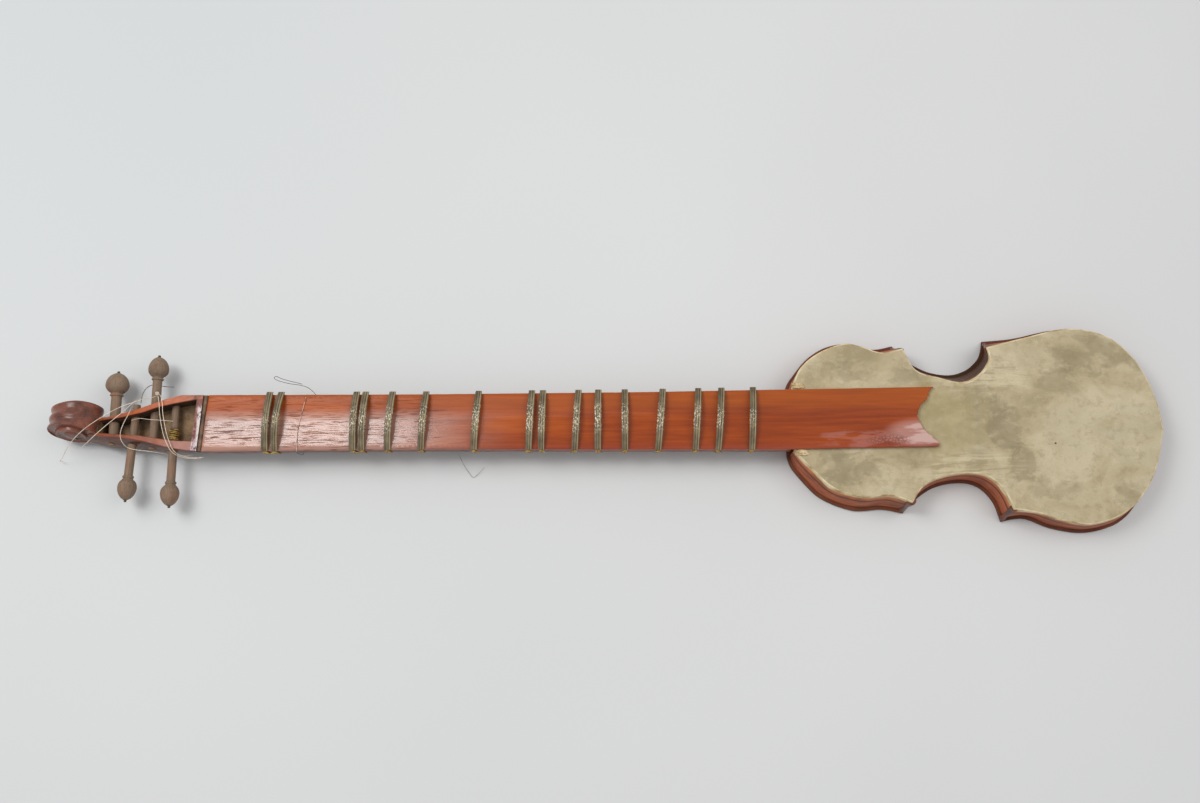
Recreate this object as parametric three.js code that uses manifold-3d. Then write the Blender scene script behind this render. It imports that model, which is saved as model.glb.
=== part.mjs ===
// Long-necked lute with a violin-outline body and a skin belly, lying on its back.
// Millimetres. +X runs along the neck towards the tail, +Y towards the far side, +Z up out of the skin.
// The origin is on the flat underside of the back, near the middle of the body.
import * as THREE from "three";
import { mergeVertices } from "three/addons/utils/BufferGeometryUtils.js";
import Module from "manifold-3d";

// ---- driving dimensions ----
const GAP = 0.3; // clearance between pieces that touch
const BACK_THICKNESS = 3;
const BACK_OVERHANG = 3; // how far the back stands out past the ribs
const RIB_THICKNESS = 2.2;
const SKIN_THICKNESS = 1.2;
const SKIN_TOP = 33.4;
const SKIN_LAP = 0.8; // how far the skin stands out past the ribs
const BOARD_TOP = 38;
const BOARD_THICKNESS = 4;
const HEAD_SLANT = THREE.MathUtils.degToRad(-3.7); // nut and board end, seen from above
const NUT_WIDTH = 4;
const NUT_X = -748.4;
const BODY_START_X = -188;
const SCROLL = { x: -873.2, z: 27.5, radius: 23.6, halfWidth: 10.2 };
const FRET_WIDTH = 6.6;
const FRET_THICKNESS = 2.2;
const TIE_RADIUS = 0.55;
const RIB_BOTTOM = BACK_THICKNESS + GAP;
const RIB_TOP = SKIN_TOP - SKIN_THICKNESS - GAP;
const BOARD_BOTTOM = BOARD_TOP - BOARD_THICKNESS;
const NECK_TOP = BOARD_BOTTOM - GAP;

// Frets from the nut to the body: place along the neck, skew in degrees, height of the arch.
const FRETS = [
  [-686, 2.4, 6], [-676, 4.3, 9], [-603, 2.2, 6.5], [-594.5, 2.6, 8],
  [-569.5, 3.7, 7.5], [-537.6, 3.9, 7], [-487.5, 4.2, 6.5], [-436.2, 3.1, 6.5],
  [-424.9, 1.8, 6], [-392.2, 3.8, 6], [-371.8, 0.8, 5], [-346.2, 0.5, 5.5],
  [-312.5, 5.3, 6.5], [-277.8, 3.9, 6.5], [-256, 4.6, 6.5], [-225, 2.8, 6],
];

// Pegs: x and z of the axis, y of the tip of the head and of the shaft's end, head radius,
// shaft radius, and the slant of the axis seen from above in degrees.
const PEGS = {
  peg_a: { x: -839.5, z: 20, tip: 56.5, end: -17.6, head: 10.8, shaft: 4.9, slant: 0 },
  peg_b: { x: -799.7, z: 23, tip: 71.5, end: -22, head: 9.6, shaft: 4.3, slant: 0 },
  peg_c: { x: -818.2, z: 24, tip: -72.5, end: 22, head: 8.7, shaft: 4.0, slant: -2.6 },
  peg_d: { x: -779, z: 25, tip: -78.5, end: 26, head: 8.7, shaft: 4.0, slant: 0 },
};

// Body outlines, anticlockwise seen from above, from the neck along the near side.
const BACK_EDGE = {
  upperNear: [[-188, -30], [-182, -45], [-158, -71], [-126, -84], [-100, -83], [-78, -87]],
  waistNear: [[-78, -87], [-67, -76], [-48, -63], [-25, -58], [-6, -61], [9, -75], [16, -96]],
  lowerNear: [[16, -96], [38, -93], [62, -102], [96, -107], [132, -96], [158, -64], [172, -12]],
  lowerFar: [[172, -12], [170, 20], [156, 56], [128, 84], [88, 95], [44, 87], [12, 84]],
  waistFar: [[12, 84], [7, 67], [-6, 55], [-24, 50], [-46, 54], [-66, 66], [-78, 80]],
  upperFar: [[-78, 80], [-98, 77], [-128, 83], [-158, 72], [-182, 46], [-188, 31]],
};
const SKIN_EDGE = {
  upperNear: [[-186, -29.5], [-172, -45], [-150, -66], [-122, -74.5], [-96, -73.5], [-76, -80]],
  waistNear: [[-76, -80], [-64, -64], [-45, -55.5], [-22, -52.5], [-4, -55.5], [10, -68], [19, -87]],
  lowerNear: [[19, -87], [42, -91], [66, -98.5], [94, -101.5], [128, -88], [154, -56], [168, -12]],
  lowerFar: [[168, -12], [164, 18], [150, 54], [124, 80], [86, 88.5], [42, 79.5], [5, 70]],
  waistFar: [[5, 70], [7, 57], [-4, 42], [-20, 35.5], [-42, 40.5], [-64, 48], [-76, 70]],
  upperFar: [[-76, 70], [-96, 66], [-118, 73], [-134, 75], [-158, 66], [-176, 51], [-186, 30]],
};

// Board and neck edges: near and far y along x.
const NEAR_EDGE = [[-748, -26.2], [-540, -26], [-330, -28], [-205, -29], [-51, -27.3]];
const FAR_EDGE = [[-748, 28.5], [-540, 27.5], [-330, 28], [-205, 29.3], [-50, 30.8]];

// Free string remains: radius, steps along the tube, material and route.
const CORDS = {
  string_tail_a: {
    radius: 0.3, steps: 30, material: "string",
    route: [
      [-797, 29, 30], [-800.5, 26, 36], [-805.5, 24, 40], [-812.5, 20, 44.5], [-821, 15.5, 48.5],
      [-829, 10, 52], [-836, 4.5, 54.5], [-843, -1, 56], [-850.5, -6.5, 55.5], [-859, -12, 51.5],
      [-868, -17.5, 44], [-878, -23, 32], [-888, -27.5, 17], [-894, -29, 8], [-896.5, -29, 4.6],
      [-893.5, -29.5, 3.8],
    ],
  },
  string_tail_b: {
    radius: 0.3, steps: 14, material: "string",
    route: [
      [-814, 25, 33], [-816.5, 19.5, 39], [-821, 12.5, 43], [-827, 4.5, 47.5], [-835, -4, 50],
      [-844, -12, 49], [-852, -18, 45.5], [-858.5, -22, 41.5],
    ],
  },
  string_tail_c: {
    radius: 0.3, steps: 26, material: "string",
    route: [
      [-816.5, 15.5, 39], [-818, 8.5, 41], [-821.5, 0, 41.5], [-823.5, -8, 41.5], [-823.5, -14, 40],
      [-821.5, -19, 36.5], [-819, -21.5, 32.5], [-813, -23, 30], [-803, -24, 28], [-793, -25, 24],
      [-785, -26, 19], [-779, -26.5, 17], [-771, -27, 18.5], [-762, -27.5, 22],
    ],
  },
  string_tail_d: {
    radius: 0.3, steps: 24, material: "string",
    route: [
      [-796, 31.5, 30], [-792.5, 27, 36.5], [-789.5, 19.5, 40.5], [-788, 11, 41.5], [-786, 1.5, 42],
      [-783, -9.5, 42], [-779.5, -18, 42], [-776, -25, 40], [-772, -29, 36.5], [-767, -31, 33],
      [-760, -32, 31], [-753.5, -32, 30], [-748, -30.5, 29],
    ],
  },
  string_tail_e: {
    radius: 0.35, steps: 18, material: "wire",
    route: [
      [-784, 40, 21], [-791, 41, 18], [-796.5, 42, 16], [-802.5, 43.5, 15.5], [-807.5, 43, 17],
      [-810, 40.5, 20], [-811.5, 36.5, 23], [-812.5, 31.5, 25], [-812.5, 26, 26.5], [-812.5, 23, 27],
    ],
  },
  neck_wire: {
    radius: 0.25, steps: 56, material: "wire",
    route: [
      [-655.5, 38.5, 35.5], [-661, 40, 36], [-667.5, 41.5, 36.2], [-675.5, 44, 36], [-680.5, 46.3, 35.7],
      [-682.8, 45, 35.5], [-680, 42.8, 35.2], [-673, 40.5, 35], [-665.5, 39, 34.3], [-658, 38, 33.5],
      [-651.5, 36.2, 32], [-647.5, 33.5, 29], [-645.5, 31, 24], [-646, 28.4, 18], [-648, 20, 12.6],
      [-650.5, 10, 10.2], [-652, 0, 9.6], [-653.5, -10, 10.2], [-655, -19.5, 12.9], [-656, -27.2, 19.5],
      [-656.5, -28.4, 28], [-656.8, -28.4, 35], [-657, -27.4, 38.7], [-656.8, -20, 39], [-656.6, -6, 38.9],
      [-653.5, 10, 38.9], [-650.5, 25, 38.9],
    ],
  },
};

// ---- helpers ----
const wasm = await Module();
wasm.setup();

function solidOf(geometry) {
  const bare = geometry.clone();
  bare.deleteAttribute("normal");
  bare.deleteAttribute("uv");
  const merged = mergeVertices(bare, 1e-3);
  const vertProperties = merged.attributes.position.array;
  const triVerts = new Uint32Array(merged.index.array);
  return new wasm.Manifold(new wasm.Mesh({ numProp: 3, vertProperties, triVerts }));
}

function geometryOf(solid) {
  const mesh = solid.getMesh();
  const geometry = new THREE.BufferGeometry();
  geometry.setAttribute("position", new THREE.Float32BufferAttribute(mesh.vertProperties, 3));
  geometry.setIndex([...mesh.triVerts]);
  return geometry;
}

function signedVolume(positions, index) {
  const at = (i) => new THREE.Vector3().fromArray(positions, 3 * i);
  let sum = 0;
  for (let k = 0; k < index.length; k += 3) {
    sum += at(index[k]).dot(at(index[k + 1]).cross(at(index[k + 2])));
  }
  return sum / 6;
}

// Skin over rings of equal length, with flat ends. The rings are convex.
function loft(rings) {
  const positions = rings.flat(2);
  const size = rings[0].length;
  const last = (rings.length - 1) * size;
  const index = [];
  for (let r = 0; r + 1 < rings.length; r += 1) {
    for (let k = 0; k < size; k += 1) {
      const a = r * size + k;
      const b = r * size + ((k + 1) % size);
      index.push(a, b, b + size, a, b + size, a + size);
    }
  }
  for (let k = 1; k + 1 < size; k += 1) {
    index.push(0, k + 1, k, last, last + k, last + k + 1);
  }
  if (signedVolume(positions, index) < 0) index.reverse();
  const geometry = new THREE.BufferGeometry();
  geometry.setAttribute("position", new THREE.Float32BufferAttribute(positions, 3));
  geometry.setIndex(index);
  return geometry;
}

function lerpTable(table, x) {
  let k = 0;
  while (k + 2 < table.length && x > table[k + 1][0]) k += 1;
  const [x0, y0] = table[k];
  const [x1, y1] = table[k + 1];
  const t = THREE.MathUtils.clamp((x - x0) / (x1 - x0), 0, 1);
  return y0 + (y1 - y0) * t;
}

function spline2(points, count) {
  const curve = new THREE.SplineCurve(points.map(([x, y]) => new THREE.Vector2(x, y)));
  return curve.getSpacedPoints(count);
}

function plate(points, bottom, thickness) {
  const shape = new THREE.Shape(points);
  const geometry = new THREE.ExtrudeGeometry(shape, { depth: thickness, bevelEnabled: false });
  return geometry.translate(0, 0, bottom);
}

function outline(edges, countPerStretch) {
  const points = Object.values(edges).flatMap((stretch) => spline2(stretch, countPerStretch).slice(0, -1));
  const lastStretch = Object.values(edges).at(-1);
  return [...points, new THREE.Vector2(...lastStretch.at(-1))];
}

function tube(route, radius, steps, sides) {
  const section = new THREE.Shape();
  for (let k = 0; k < sides; k += 1) {
    const angle = (2 * Math.PI * k) / sides;
    const corner = [radius * Math.cos(angle), radius * Math.sin(angle)];
    if (k === 0) section.moveTo(...corner);
    else section.lineTo(...corner);
  }
  const path = new THREE.CatmullRomCurve3(route.map((point) => new THREE.Vector3(...point)));
  return new THREE.ExtrudeGeometry(section, { steps, bevelEnabled: false, extrudePath: path });
}

const MATERIALS = {
  varnished_neck: [0xa8502a, 0.3, 0],
  head_wood: [0x6e3a2a, 0.35, 0],
  rib_wood: [0x7d4a38, 0.5, 0],
  plain_wood: [0xb08a5c, 0.8, 0],
  skin: [0xb0a684, 0.7, 0],
  peg_wood: [0x8c7360, 0.75, 0],
  fret_metal: [0x787260, 0.35, 0.8],
  gut: [0xa8904c, 0.6, 0],
  nut_wood: [0x4a3026, 0.5, 0],
  string: [0xd2c6a8, 0.5, 0],
  wire: [0x40464c, 0.4, 0.8],
};

function part(name, geometry, materialName) {
  const [color, roughness, metalness] = MATERIALS[materialName];
  const mesh = new THREE.Mesh(geometry, new THREE.MeshStandardMaterial({ color, roughness, metalness }));
  mesh.name = name;
  return mesh;
}

// ---- body ----
function makeBack() {
  return part("back_plate", plate(outline(BACK_EDGE, 10), 0, BACK_THICKNESS), "rib_wood");
}

function makeSkin() {
  const bottom = SKIN_TOP - SKIN_THICKNESS;
  return part("skin_head", plate(outline(SKIN_EDGE, 10), bottom, SKIN_THICKNESS), "skin");
}

// Points of an edge and the inward direction at each.
function edgeStations(stretches, count) {
  const points = stretches.flatMap((s, i) => spline2(s, count).slice(i === 0 ? 0 : 1));
  return points.map((point, i) => {
    const before = points[Math.max(i - 1, 0)];
    const after = points[Math.min(i + 1, points.length - 1)];
    const along = after.clone().sub(before).normalize();
    return { point, inward: new THREE.Vector2(-along.y, along.x) };
  });
}

// A bent strip that leans from the back's edge below to the skin's edge above.
function ribGeometry(names, count, skipEnds) {
  const low = edgeStations(names.map((n) => BACK_EDGE[n]), count);
  const high = edgeStations(names.map((n) => SKIN_EDGE[n]), count);
  const rings = low.map((station, i) => {
    const at = ({ point, inward }, inset, z) => [point.x + inward.x * inset, point.y + inward.y * inset, z];
    return [
      at(station, BACK_OVERHANG, RIB_BOTTOM),
      at(station, BACK_OVERHANG + RIB_THICKNESS, RIB_BOTTOM),
      at(high[i], SKIN_LAP + RIB_THICKNESS, RIB_TOP),
      at(high[i], SKIN_LAP, RIB_TOP),
    ];
  });
  return loft(rings.slice(skipEnds, rings.length - skipEnds));
}

function makeRibs() {
  return [
    part("rib_upper_near", ribGeometry(["upperNear"], 12, 0), "rib_wood"),
    part("rib_upper_far", ribGeometry(["upperFar"], 12, 0), "rib_wood"),
    part("rib_waist_near", ribGeometry(["waistNear"], 20, 2), "rib_wood"),
    part("rib_waist_far", ribGeometry(["waistFar"], 20, 2), "rib_wood"),
    part("rib_lower", ribGeometry(["lowerNear", "lowerFar"], 14, 0), "rib_wood"),
  ];
}

function makeBlocks() {
  const blocks = {
    neck_block: [[-187.6, -23], [-162, -23], [-162, 23], [-187.6, 23]],
    tail_block: [[136, -34], [157, -34], [161, -12], [157, 12], [136, 12]],
    corner_block_upper_near: [[-100, -66], [-80, -69], [-70, -57]],
    corner_block_upper_far: [[-70, 43], [-81, 60], [-102, 57]],
    corner_block_lower_near: [[10, -54], [23, -76], [42, -82]],
    corner_block_lower_far: [[42, 69], [19, 61], [8, 40]],
  };
  return Object.entries(blocks).map(([name, corners]) => {
    const points = corners.map(([x, y]) => new THREE.Vector2(x, y));
    return part(name, plate(points, RIB_BOTTOM, RIB_TOP - RIB_BOTTOM), "plain_wood");
  });
}

// ---- neck ----
const NECK_BOTTOM = [[-751, 12], [-215, 8.5], [-200, 5], [-188, 1.2]];

// Half-round section of the neck at x, grown outwards by `extra`, from the far top edge round to the near.
function neckSection(x, extra) {
  const far = lerpTable(FAR_EDGE, x) - 0.2 + extra;
  const near = lerpTable(NEAR_EDGE, x) + 0.2 - extra;
  const middle = (far + near) / 2;
  const half = (far - near) / 2;
  const shoulder = NECK_TOP - 9;
  const depth = shoulder - lerpTable(NECK_BOTTOM, x) + extra;
  const section = [[far, NECK_TOP]];
  const arcSteps = 8;
  for (let k = 0; k <= arcSteps; k += 1) {
    const angle = (Math.PI * k) / arcSteps;
    const side = Math.cos(angle);
    const down = Math.sin(angle) ** 0.8;
    section.push([middle + half * side, shoulder - depth * down]);
  }
  section.push([near, NECK_TOP]);
  return section;
}

function makeNeckShaft() {
  const stations = [-750, -540, -330, -215, -207, -200, -194, BODY_START_X - GAP];
  const slope = Math.tan(HEAD_SLANT);
  const rings = stations.map((x, i) =>
    neckSection(x, 0).map(([y, z]) => [i === 0 ? x - slope * y : x, y, z]));
  return part("neck_shaft", loft(rings), "head_wood");
}

function makeFingerboard() {
  const start = NUT_X + NUT_WIDTH / 2 + GAP;
  const slope = Math.tan(HEAD_SLANT);
  const near = NEAR_EDGE.map(([x, y]) => new THREE.Vector2(x, y));
  near[0].x = start - slope * near[0].y;
  const tailEdge = spline2([[-50, -24.3], [-60, -13.5], [-67.5, 2.6], [-62.5, 13], [-50, 30.8]], 12);
  const far = FAR_EDGE.slice(0, -1).reverse().map(([x, y]) => new THREE.Vector2(x, y));
  far.at(-1).x = start - slope * far.at(-1).y;
  const points = [...near, ...tailEdge, ...far];
  return part("fingerboard", plate(points, BOARD_BOTTOM, BOARD_THICKNESS), "varnished_neck");
}

function makeNut() {
  const shape = new THREE.Shape();
  const half = NUT_WIDTH / 2;
  const bottom = NECK_TOP + GAP;
  shape.moveTo(-half, bottom);
  shape.lineTo(half, bottom);
  shape.lineTo(half, BOARD_TOP - 0.6);
  shape.quadraticCurveTo(0, BOARD_TOP + 0.4, -half, BOARD_TOP - 1.2);
  const length = 53.6;
  const geometry = new THREE.ExtrudeGeometry(shape, { depth: length, bevelEnabled: false, curveSegments: 4 });
  geometry.rotateX(Math.PI / 2).translate(0, length / 2, 0).rotateZ(HEAD_SLANT);
  return part("nut", geometry.translate(NUT_X, 1.1, 0), "nut_wood");
}

// ---- pegbox and scroll ----
// Stations along the pegbox: x, y of the far rim, near rim, far back and near back, z of the back, z of the rim.
const PEGBOX = [
  [-750.7, 28.3, -26.3, 23, -23, 12, 37.6], [-770, 28.4, -24.2, 21.3, -23.6, 11, 37.6],
  [-785, 24.5, -21, 19.6, -23.2, 10, 37.8], [-800, 19, -17.3, 17.7, -21.5, 8.5, 37.5],
  [-815, 14, -14.5, 15.7, -19.6, 6.8, 36.5], [-828, 10.6, -13.1, 14, -18.2, 5, 35],
  [-842, 6.8, -13.2, 12.2, -16.6, 4, 34], [-862, 5, -11.6, 10.3, -13, 3.6, 34],
];
// Cavity: x, near y, far y, floor.
const CAVITY = [
  [-757, -16.5, 23.8, 18], [-777, -15.6, 20, 17], [-792, -13, 16.5, 15.5],
  [-807, -10.8, 11.5, 13.5], [-825, -10.1, 7.2, 11], [-847, -9.8, 2.8, 9],
];

// The head leans over towards the far side as it nears the scroll.
function leanHead(geometry) {
  const position = geometry.attributes.position;
  const axisHeight = 24;
  for (let i = 0; i < position.count; i += 1) {
    const x = position.getX(i);
    const turn = THREE.MathUtils.degToRad(13) * THREE.MathUtils.smoothstep(-x, 790, 870);
    const shift = 3.2 * THREE.MathUtils.smoothstep(-x, 830, 870);
    const y = position.getY(i);
    const z = position.getZ(i) - axisHeight;
    position.setY(i, y * Math.cos(turn) + z * Math.sin(turn) + shift);
    position.setZ(i, z * Math.cos(turn) - y * Math.sin(turn) + axisHeight);
  }
  return geometry;
}

function pegboxOuter() {
  const slope = Math.tan(HEAD_SLANT);
  const rings = PEGBOX.map(([x, farRim, nearRim, farBack, nearBack, bottom, top], i) => {
    const halfSection = (rim, back, bulge) => [
      [rim, top], [(rim + back) / 2 + bulge, (top + bottom) / 2 + 2], [back, bottom + 6],
      [back * 0.75, bottom + 1.5], [back * 0.35, bottom],
    ];
    const section = [...halfSection(farRim, farBack, 0.8), ...halfSection(nearRim, nearBack, -0.8).reverse()];
    return section.map(([y, z]) => [i === 0 ? x - slope * y : x, y, z]);
  });
  return solidOf(loft(rings));
}

function pegboxCavity() {
  const above = 60;
  const rings = CAVITY.map(([x, near, far, floor]) =>
    [[x, near, floor], [x, far, floor], [x, far, above], [x, near, above]]);
  return solidOf(loft(rings));
}

// The volute: one disc inside each quarter turn of the spiral, each wider along the axis than the last.
function volute() {
  const quarterTurns = 7;
  const shrinkPerTurn = 0.5;
  const stepOut = 0.6;
  let solid = null;
  for (let quarter = 0; quarter < quarterTurns; quarter += 1) {
    const shape = new THREE.Shape();
    const pointsPerTurn = 28;
    for (let k = 0; k < pointsPerTurn; k += 1) {
      const turn = quarter / 4 + k / pointsPerTurn;
      const radius = SCROLL.radius * shrinkPerTurn ** Math.max(turn - 0.75, 0);
      const angle = -2 * Math.PI * turn - Math.PI / 2;
      const corner = [radius * Math.cos(angle), radius * Math.sin(angle)];
      if (k === 0) shape.moveTo(...corner);
      else shape.lineTo(...corner);
    }
    const width = 2 * (SCROLL.halfWidth + stepOut * quarter);
    const geometry = new THREE.ExtrudeGeometry(shape, { depth: width, bevelEnabled: false });
    geometry.rotateX(Math.PI / 2).translate(SCROLL.x, width / 2, SCROLL.z);
    const disc = solidOf(geometry);
    solid = solid ? solid.add(disc) : disc;
  }
  return solid;
}

function pegBore({ x, z, tip, end, shaft, slant }) {
  const geometry = new THREE.CylinderGeometry(shaft + 0.45, shaft + 0.45, 110, 20);
  geometry.rotateZ(THREE.MathUtils.degToRad(slant));
  return solidOf(geometry.translate(x, 0, z));
}

function makeHead() {
  const carved = leanHead(geometryOf(pegboxOuter().add(volute()).subtract(pegboxCavity())));
  let solid = solidOf(carved);
  for (const peg of Object.values(PEGS)) solid = solid.subtract(pegBore(peg));
  return part("pegbox_scroll", geometryOf(solid), "head_wood");
}

// ---- pegs ----
function makePeg(name, { x, z, tip, end, head, shaft, slant }) {
  const length = Math.abs(tip - end);
  const profile = [
    [0, 0], [1.7, 0.3], [1.9, 2], [head * 0.45, 3.4], [head * 0.82, 7], [head, 12], [head * 0.93, 16.5],
    [head * 0.68, 20.5], [shaft + 0.3, 22.5], [shaft + 1.3, 23.6], [shaft + 1.3, 25], [shaft + 0.1, 26],
    [shaft, length * 0.6], [shaft * 0.86, length], [0, length],
  ];
  const points = profile.map(([radius, along]) => new THREE.Vector2(radius, -along));
  const geometry = new THREE.LatheGeometry(points.reverse(), 20);
  geometry.translate(0, Math.abs(tip), 0);
  if (tip < 0) geometry.rotateZ(Math.PI);
  geometry.rotateZ(THREE.MathUtils.degToRad(slant));
  return part(name, geometry.translate(x, 0, z), "peg_wood");
}

// ---- frets ----
function fretGeometry([x, skew, arch]) {
  const near = lerpTable(NEAR_EDGE, x) - 0.6;
  const far = lerpTable(FAR_EDGE, x) + 2;
  const middle = (near + far) / 2;
  const half = (far - near) / 2;
  const slope = Math.tan(THREE.MathUtils.degToRad(skew));
  const w = FRET_WIDTH / 2;
  const section = [
    [-w, 0], [-w, FRET_THICKNESS * 0.65], [-w * 0.4, FRET_THICKNESS],
    [w * 0.4, FRET_THICKNESS], [w, FRET_THICKNESS * 0.65], [w, 0],
  ];
  const stations = 14;
  const rings = [];
  for (let k = 0; k <= stations; k += 1) {
    const t = (2 * k) / stations - 1;
    const y = middle + half * t;
    const lift = arch * (1 - t * t);
    rings.push(section.map(([dx, dz]) => [x + dx + slope * y, y, BOARD_TOP + GAP + lift + dz]));
  }
  return loft(rings);
}

function tieGeometry([x, skew]) {
  const slope = Math.tan(THREE.MathUtils.degToRad(skew));
  const section = neckSection(x, TIE_RADIUS + 0.45);
  section[0][1] = BOARD_TOP - 0.4;
  section.at(-1)[1] = BOARD_TOP - 0.4;
  const route = section.map(([y, z]) => [x + slope * y, y, z]);
  return tube(route, TIE_RADIUS, 20, 6);
}

function makeFrets() {
  return FRETS.flatMap((fret, i) => {
    const number = String(i + 1).padStart(2, "0");
    return [
      part(`fret_${number}`, fretGeometry(fret), "fret_metal"),
      part(`fret_tie_${number}`, tieGeometry(fret), "gut"),
    ];
  });
}

// ---- string remains ----
function makeCords() {
  return Object.entries(CORDS).map(([name, { radius, steps, material, route }]) =>
    part(name, tube(route, radius, steps, 8), material));
}

const instrument = new THREE.Group();
instrument.add(makeBack(), makeSkin(), ...makeRibs(), ...makeBlocks());
instrument.add(makeNeckShaft(), makeFingerboard(), makeNut(), makeHead());
instrument.add(...Object.entries(PEGS).map(([name, peg]) => makePeg(name, peg)));
instrument.add(...makeFrets(), ...makeCords());
export default instrument;
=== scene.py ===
import math

import bmesh
import bpy
import numpy as np
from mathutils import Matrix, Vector, noise
from mathutils.geometry import delaunay_2d_cdt


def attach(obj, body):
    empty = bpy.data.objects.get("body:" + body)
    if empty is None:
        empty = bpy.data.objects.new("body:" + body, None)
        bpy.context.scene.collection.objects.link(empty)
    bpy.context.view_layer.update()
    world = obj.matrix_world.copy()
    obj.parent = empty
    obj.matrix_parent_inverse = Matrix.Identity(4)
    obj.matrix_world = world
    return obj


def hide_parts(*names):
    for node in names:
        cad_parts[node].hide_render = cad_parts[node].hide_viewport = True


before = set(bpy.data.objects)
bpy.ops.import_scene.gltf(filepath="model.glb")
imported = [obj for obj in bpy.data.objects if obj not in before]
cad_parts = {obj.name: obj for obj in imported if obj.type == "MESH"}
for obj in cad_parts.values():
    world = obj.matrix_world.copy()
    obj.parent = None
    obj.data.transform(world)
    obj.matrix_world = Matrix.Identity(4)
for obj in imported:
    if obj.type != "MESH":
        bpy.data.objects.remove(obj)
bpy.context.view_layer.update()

# ---- sizes in millimetres, as in the CAD part ----
MM = 0.001
BACK_THICKNESS = 3.0
BACK_OVERHANG = 3.0
RIB_THICKNESS = 2.2
RIB_BOTTOM = 3.3
RIB_TOP = 31.9
SKIN_TOP = 33.4
SKIN_LAP = 0.8
BOARD_TOP = 38.0
BOARD_BOTTOM = 34.0
NECK_TOP = 33.7
HEAD_SLANT = math.tan(math.radians(-3.7))
NUT_X = -748.4
BODY_START_X = -188.3
FRET_WIDTH = 6.6

# Frets from the nut to the body: place along the neck, skew in degrees, height of the arch.
FRETS = [
    (-686, 2.4, 6), (-676, 4.3, 9), (-603, 2.2, 6.5), (-594.5, 2.6, 8),
    (-569.5, 3.7, 7.5), (-537.6, 3.9, 7), (-487.5, 4.2, 6.5), (-436.2, 3.1, 6.5),
    (-424.9, 1.8, 6), (-392.2, 3.8, 6), (-371.8, 0.8, 5), (-346.2, 0.5, 5.5),
    (-312.5, 5.3, 6.5), (-277.8, 3.9, 6.5), (-256, 4.6, 6.5), (-225, 2.8, 6),
]
# Pegs: x, z, y of the head's tip, y of the shaft's end, head radius, shaft radius, slant in degrees.
PEGS = {
    "peg_a": (-839.5, 20, 56.5, -17.6, 10.8, 4.9, 0),
    "peg_b": (-799.7, 23, 71.5, -22, 9.6, 4.3, 0),
    "peg_c": (-818.2, 24, -72.5, 22, 8.7, 4.0, -2.6),
    "peg_d": (-779, 25, -78.5, 26, 8.7, 4.0, 0),
}
# Winding on peg_d: turns, distance from turn to turn, where it starts, its middle.
WINDING_TURNS, WINDING_PITCH, WINDING_START, WINDING_MIDDLE = 5.2, 1.9, -13.0, -8
# Body outlines, anticlockwise seen from above, from the neck along the near side.
BACK_EDGE = [
    [(-188, -30), (-182, -45), (-158, -71), (-126, -84), (-100, -83), (-78, -87)],
    [(-78, -87), (-67, -76), (-48, -63), (-25, -58), (-6, -61), (9, -75), (16, -96)],
    [(16, -96), (38, -93), (62, -102), (96, -107), (132, -96), (158, -64), (172, -12)],
    [(172, -12), (170, 20), (156, 56), (128, 84), (88, 95), (44, 87), (12, 84)],
    [(12, 84), (7, 67), (-6, 55), (-24, 50), (-46, 54), (-66, 66), (-78, 80)],
    [(-78, 80), (-98, 77), (-128, 83), (-158, 72), (-182, 46), (-188, 31)],
]
SKIN_EDGE = [
    [(-186, -29.5), (-172, -45), (-150, -66), (-122, -74.5), (-96, -73.5), (-76, -80)],
    [(-76, -80), (-64, -64), (-45, -55.5), (-22, -52.5), (-4, -55.5), (10, -68), (19, -87)],
    [(19, -87), (42, -91), (66, -98.5), (94, -101.5), (128, -88), (154, -56), (168, -12)],
    [(168, -12), (164, 18), (150, 54), (124, 80), (86, 88.5), (42, 79.5), (5, 70)],
    [(5, 70), (7, 57), (-4, 42), (-20, 35.5), (-42, 40.5), (-64, 48), (-76, 70)],
    [(-76, 70), (-96, 66), (-118, 73), (-134, 75), (-158, 66), (-176, 51), (-186, 30)],
]
NEAR_EDGE = [(-748, -26.2), (-540, -26), (-330, -28), (-205, -29), (-51, -27.3)]
FAR_EDGE = [(-748, 28.5), (-540, 27.5), (-330, 28), (-205, 29.3), (-50, 30.8)]
NECK_BOTTOM = [(-751, 12), (-215, 8.5), (-200, 5), (-188, 1.2)]


def add_object(name, data):
    obj = bpy.data.objects.new(name, data)
    bpy.context.scene.collection.objects.link(obj)
    return obj


# ---- camera ----
def make_camera():
    data = bpy.data.cameras.new("camera")
    data.sensor_width = 36
    data.lens = 33
    camera = add_object("camera", data)
    camera.location = (-0.3716, -0.1997, 1.0651)
    camera.rotation_euler = (math.radians(12), 0, math.radians(-0.48))
    bpy.context.scene.camera = camera


make_camera()


# ---- helpers: curves and tables ----
def spline(points, per_span):
    """Catmull-Rom through the points, ends included."""
    p = np.array(points, float)
    p = np.vstack([p[:1], p, p[-1:]])
    t = np.linspace(0, 1, per_span, endpoint=False)[:, None]
    spans = []
    for a, b, c, d in zip(p[:-3], p[1:-2], p[2:-1], p[3:]):
        v0 = (c - a) / 2
        v1 = (d - b) / 2
        spans.append(((2 * b - 2 * c + v0 + v1) * t + (-3 * b + 3 * c - 2 * v0 - v1)) * t * t + v0 * t + b)
    return np.vstack(spans + [p[-1:]])


def even(points, count):
    """count + 1 points evenly spaced along a polyline."""
    points = np.asarray(points, float)
    along = np.concatenate([[0], np.cumsum(np.linalg.norm(np.diff(points, axis=0), axis=1))])
    wanted = np.linspace(0, along[-1], count + 1)
    return np.stack([np.interp(wanted, along, points[:, k]) for k in range(points.shape[1])], axis=1)


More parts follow.
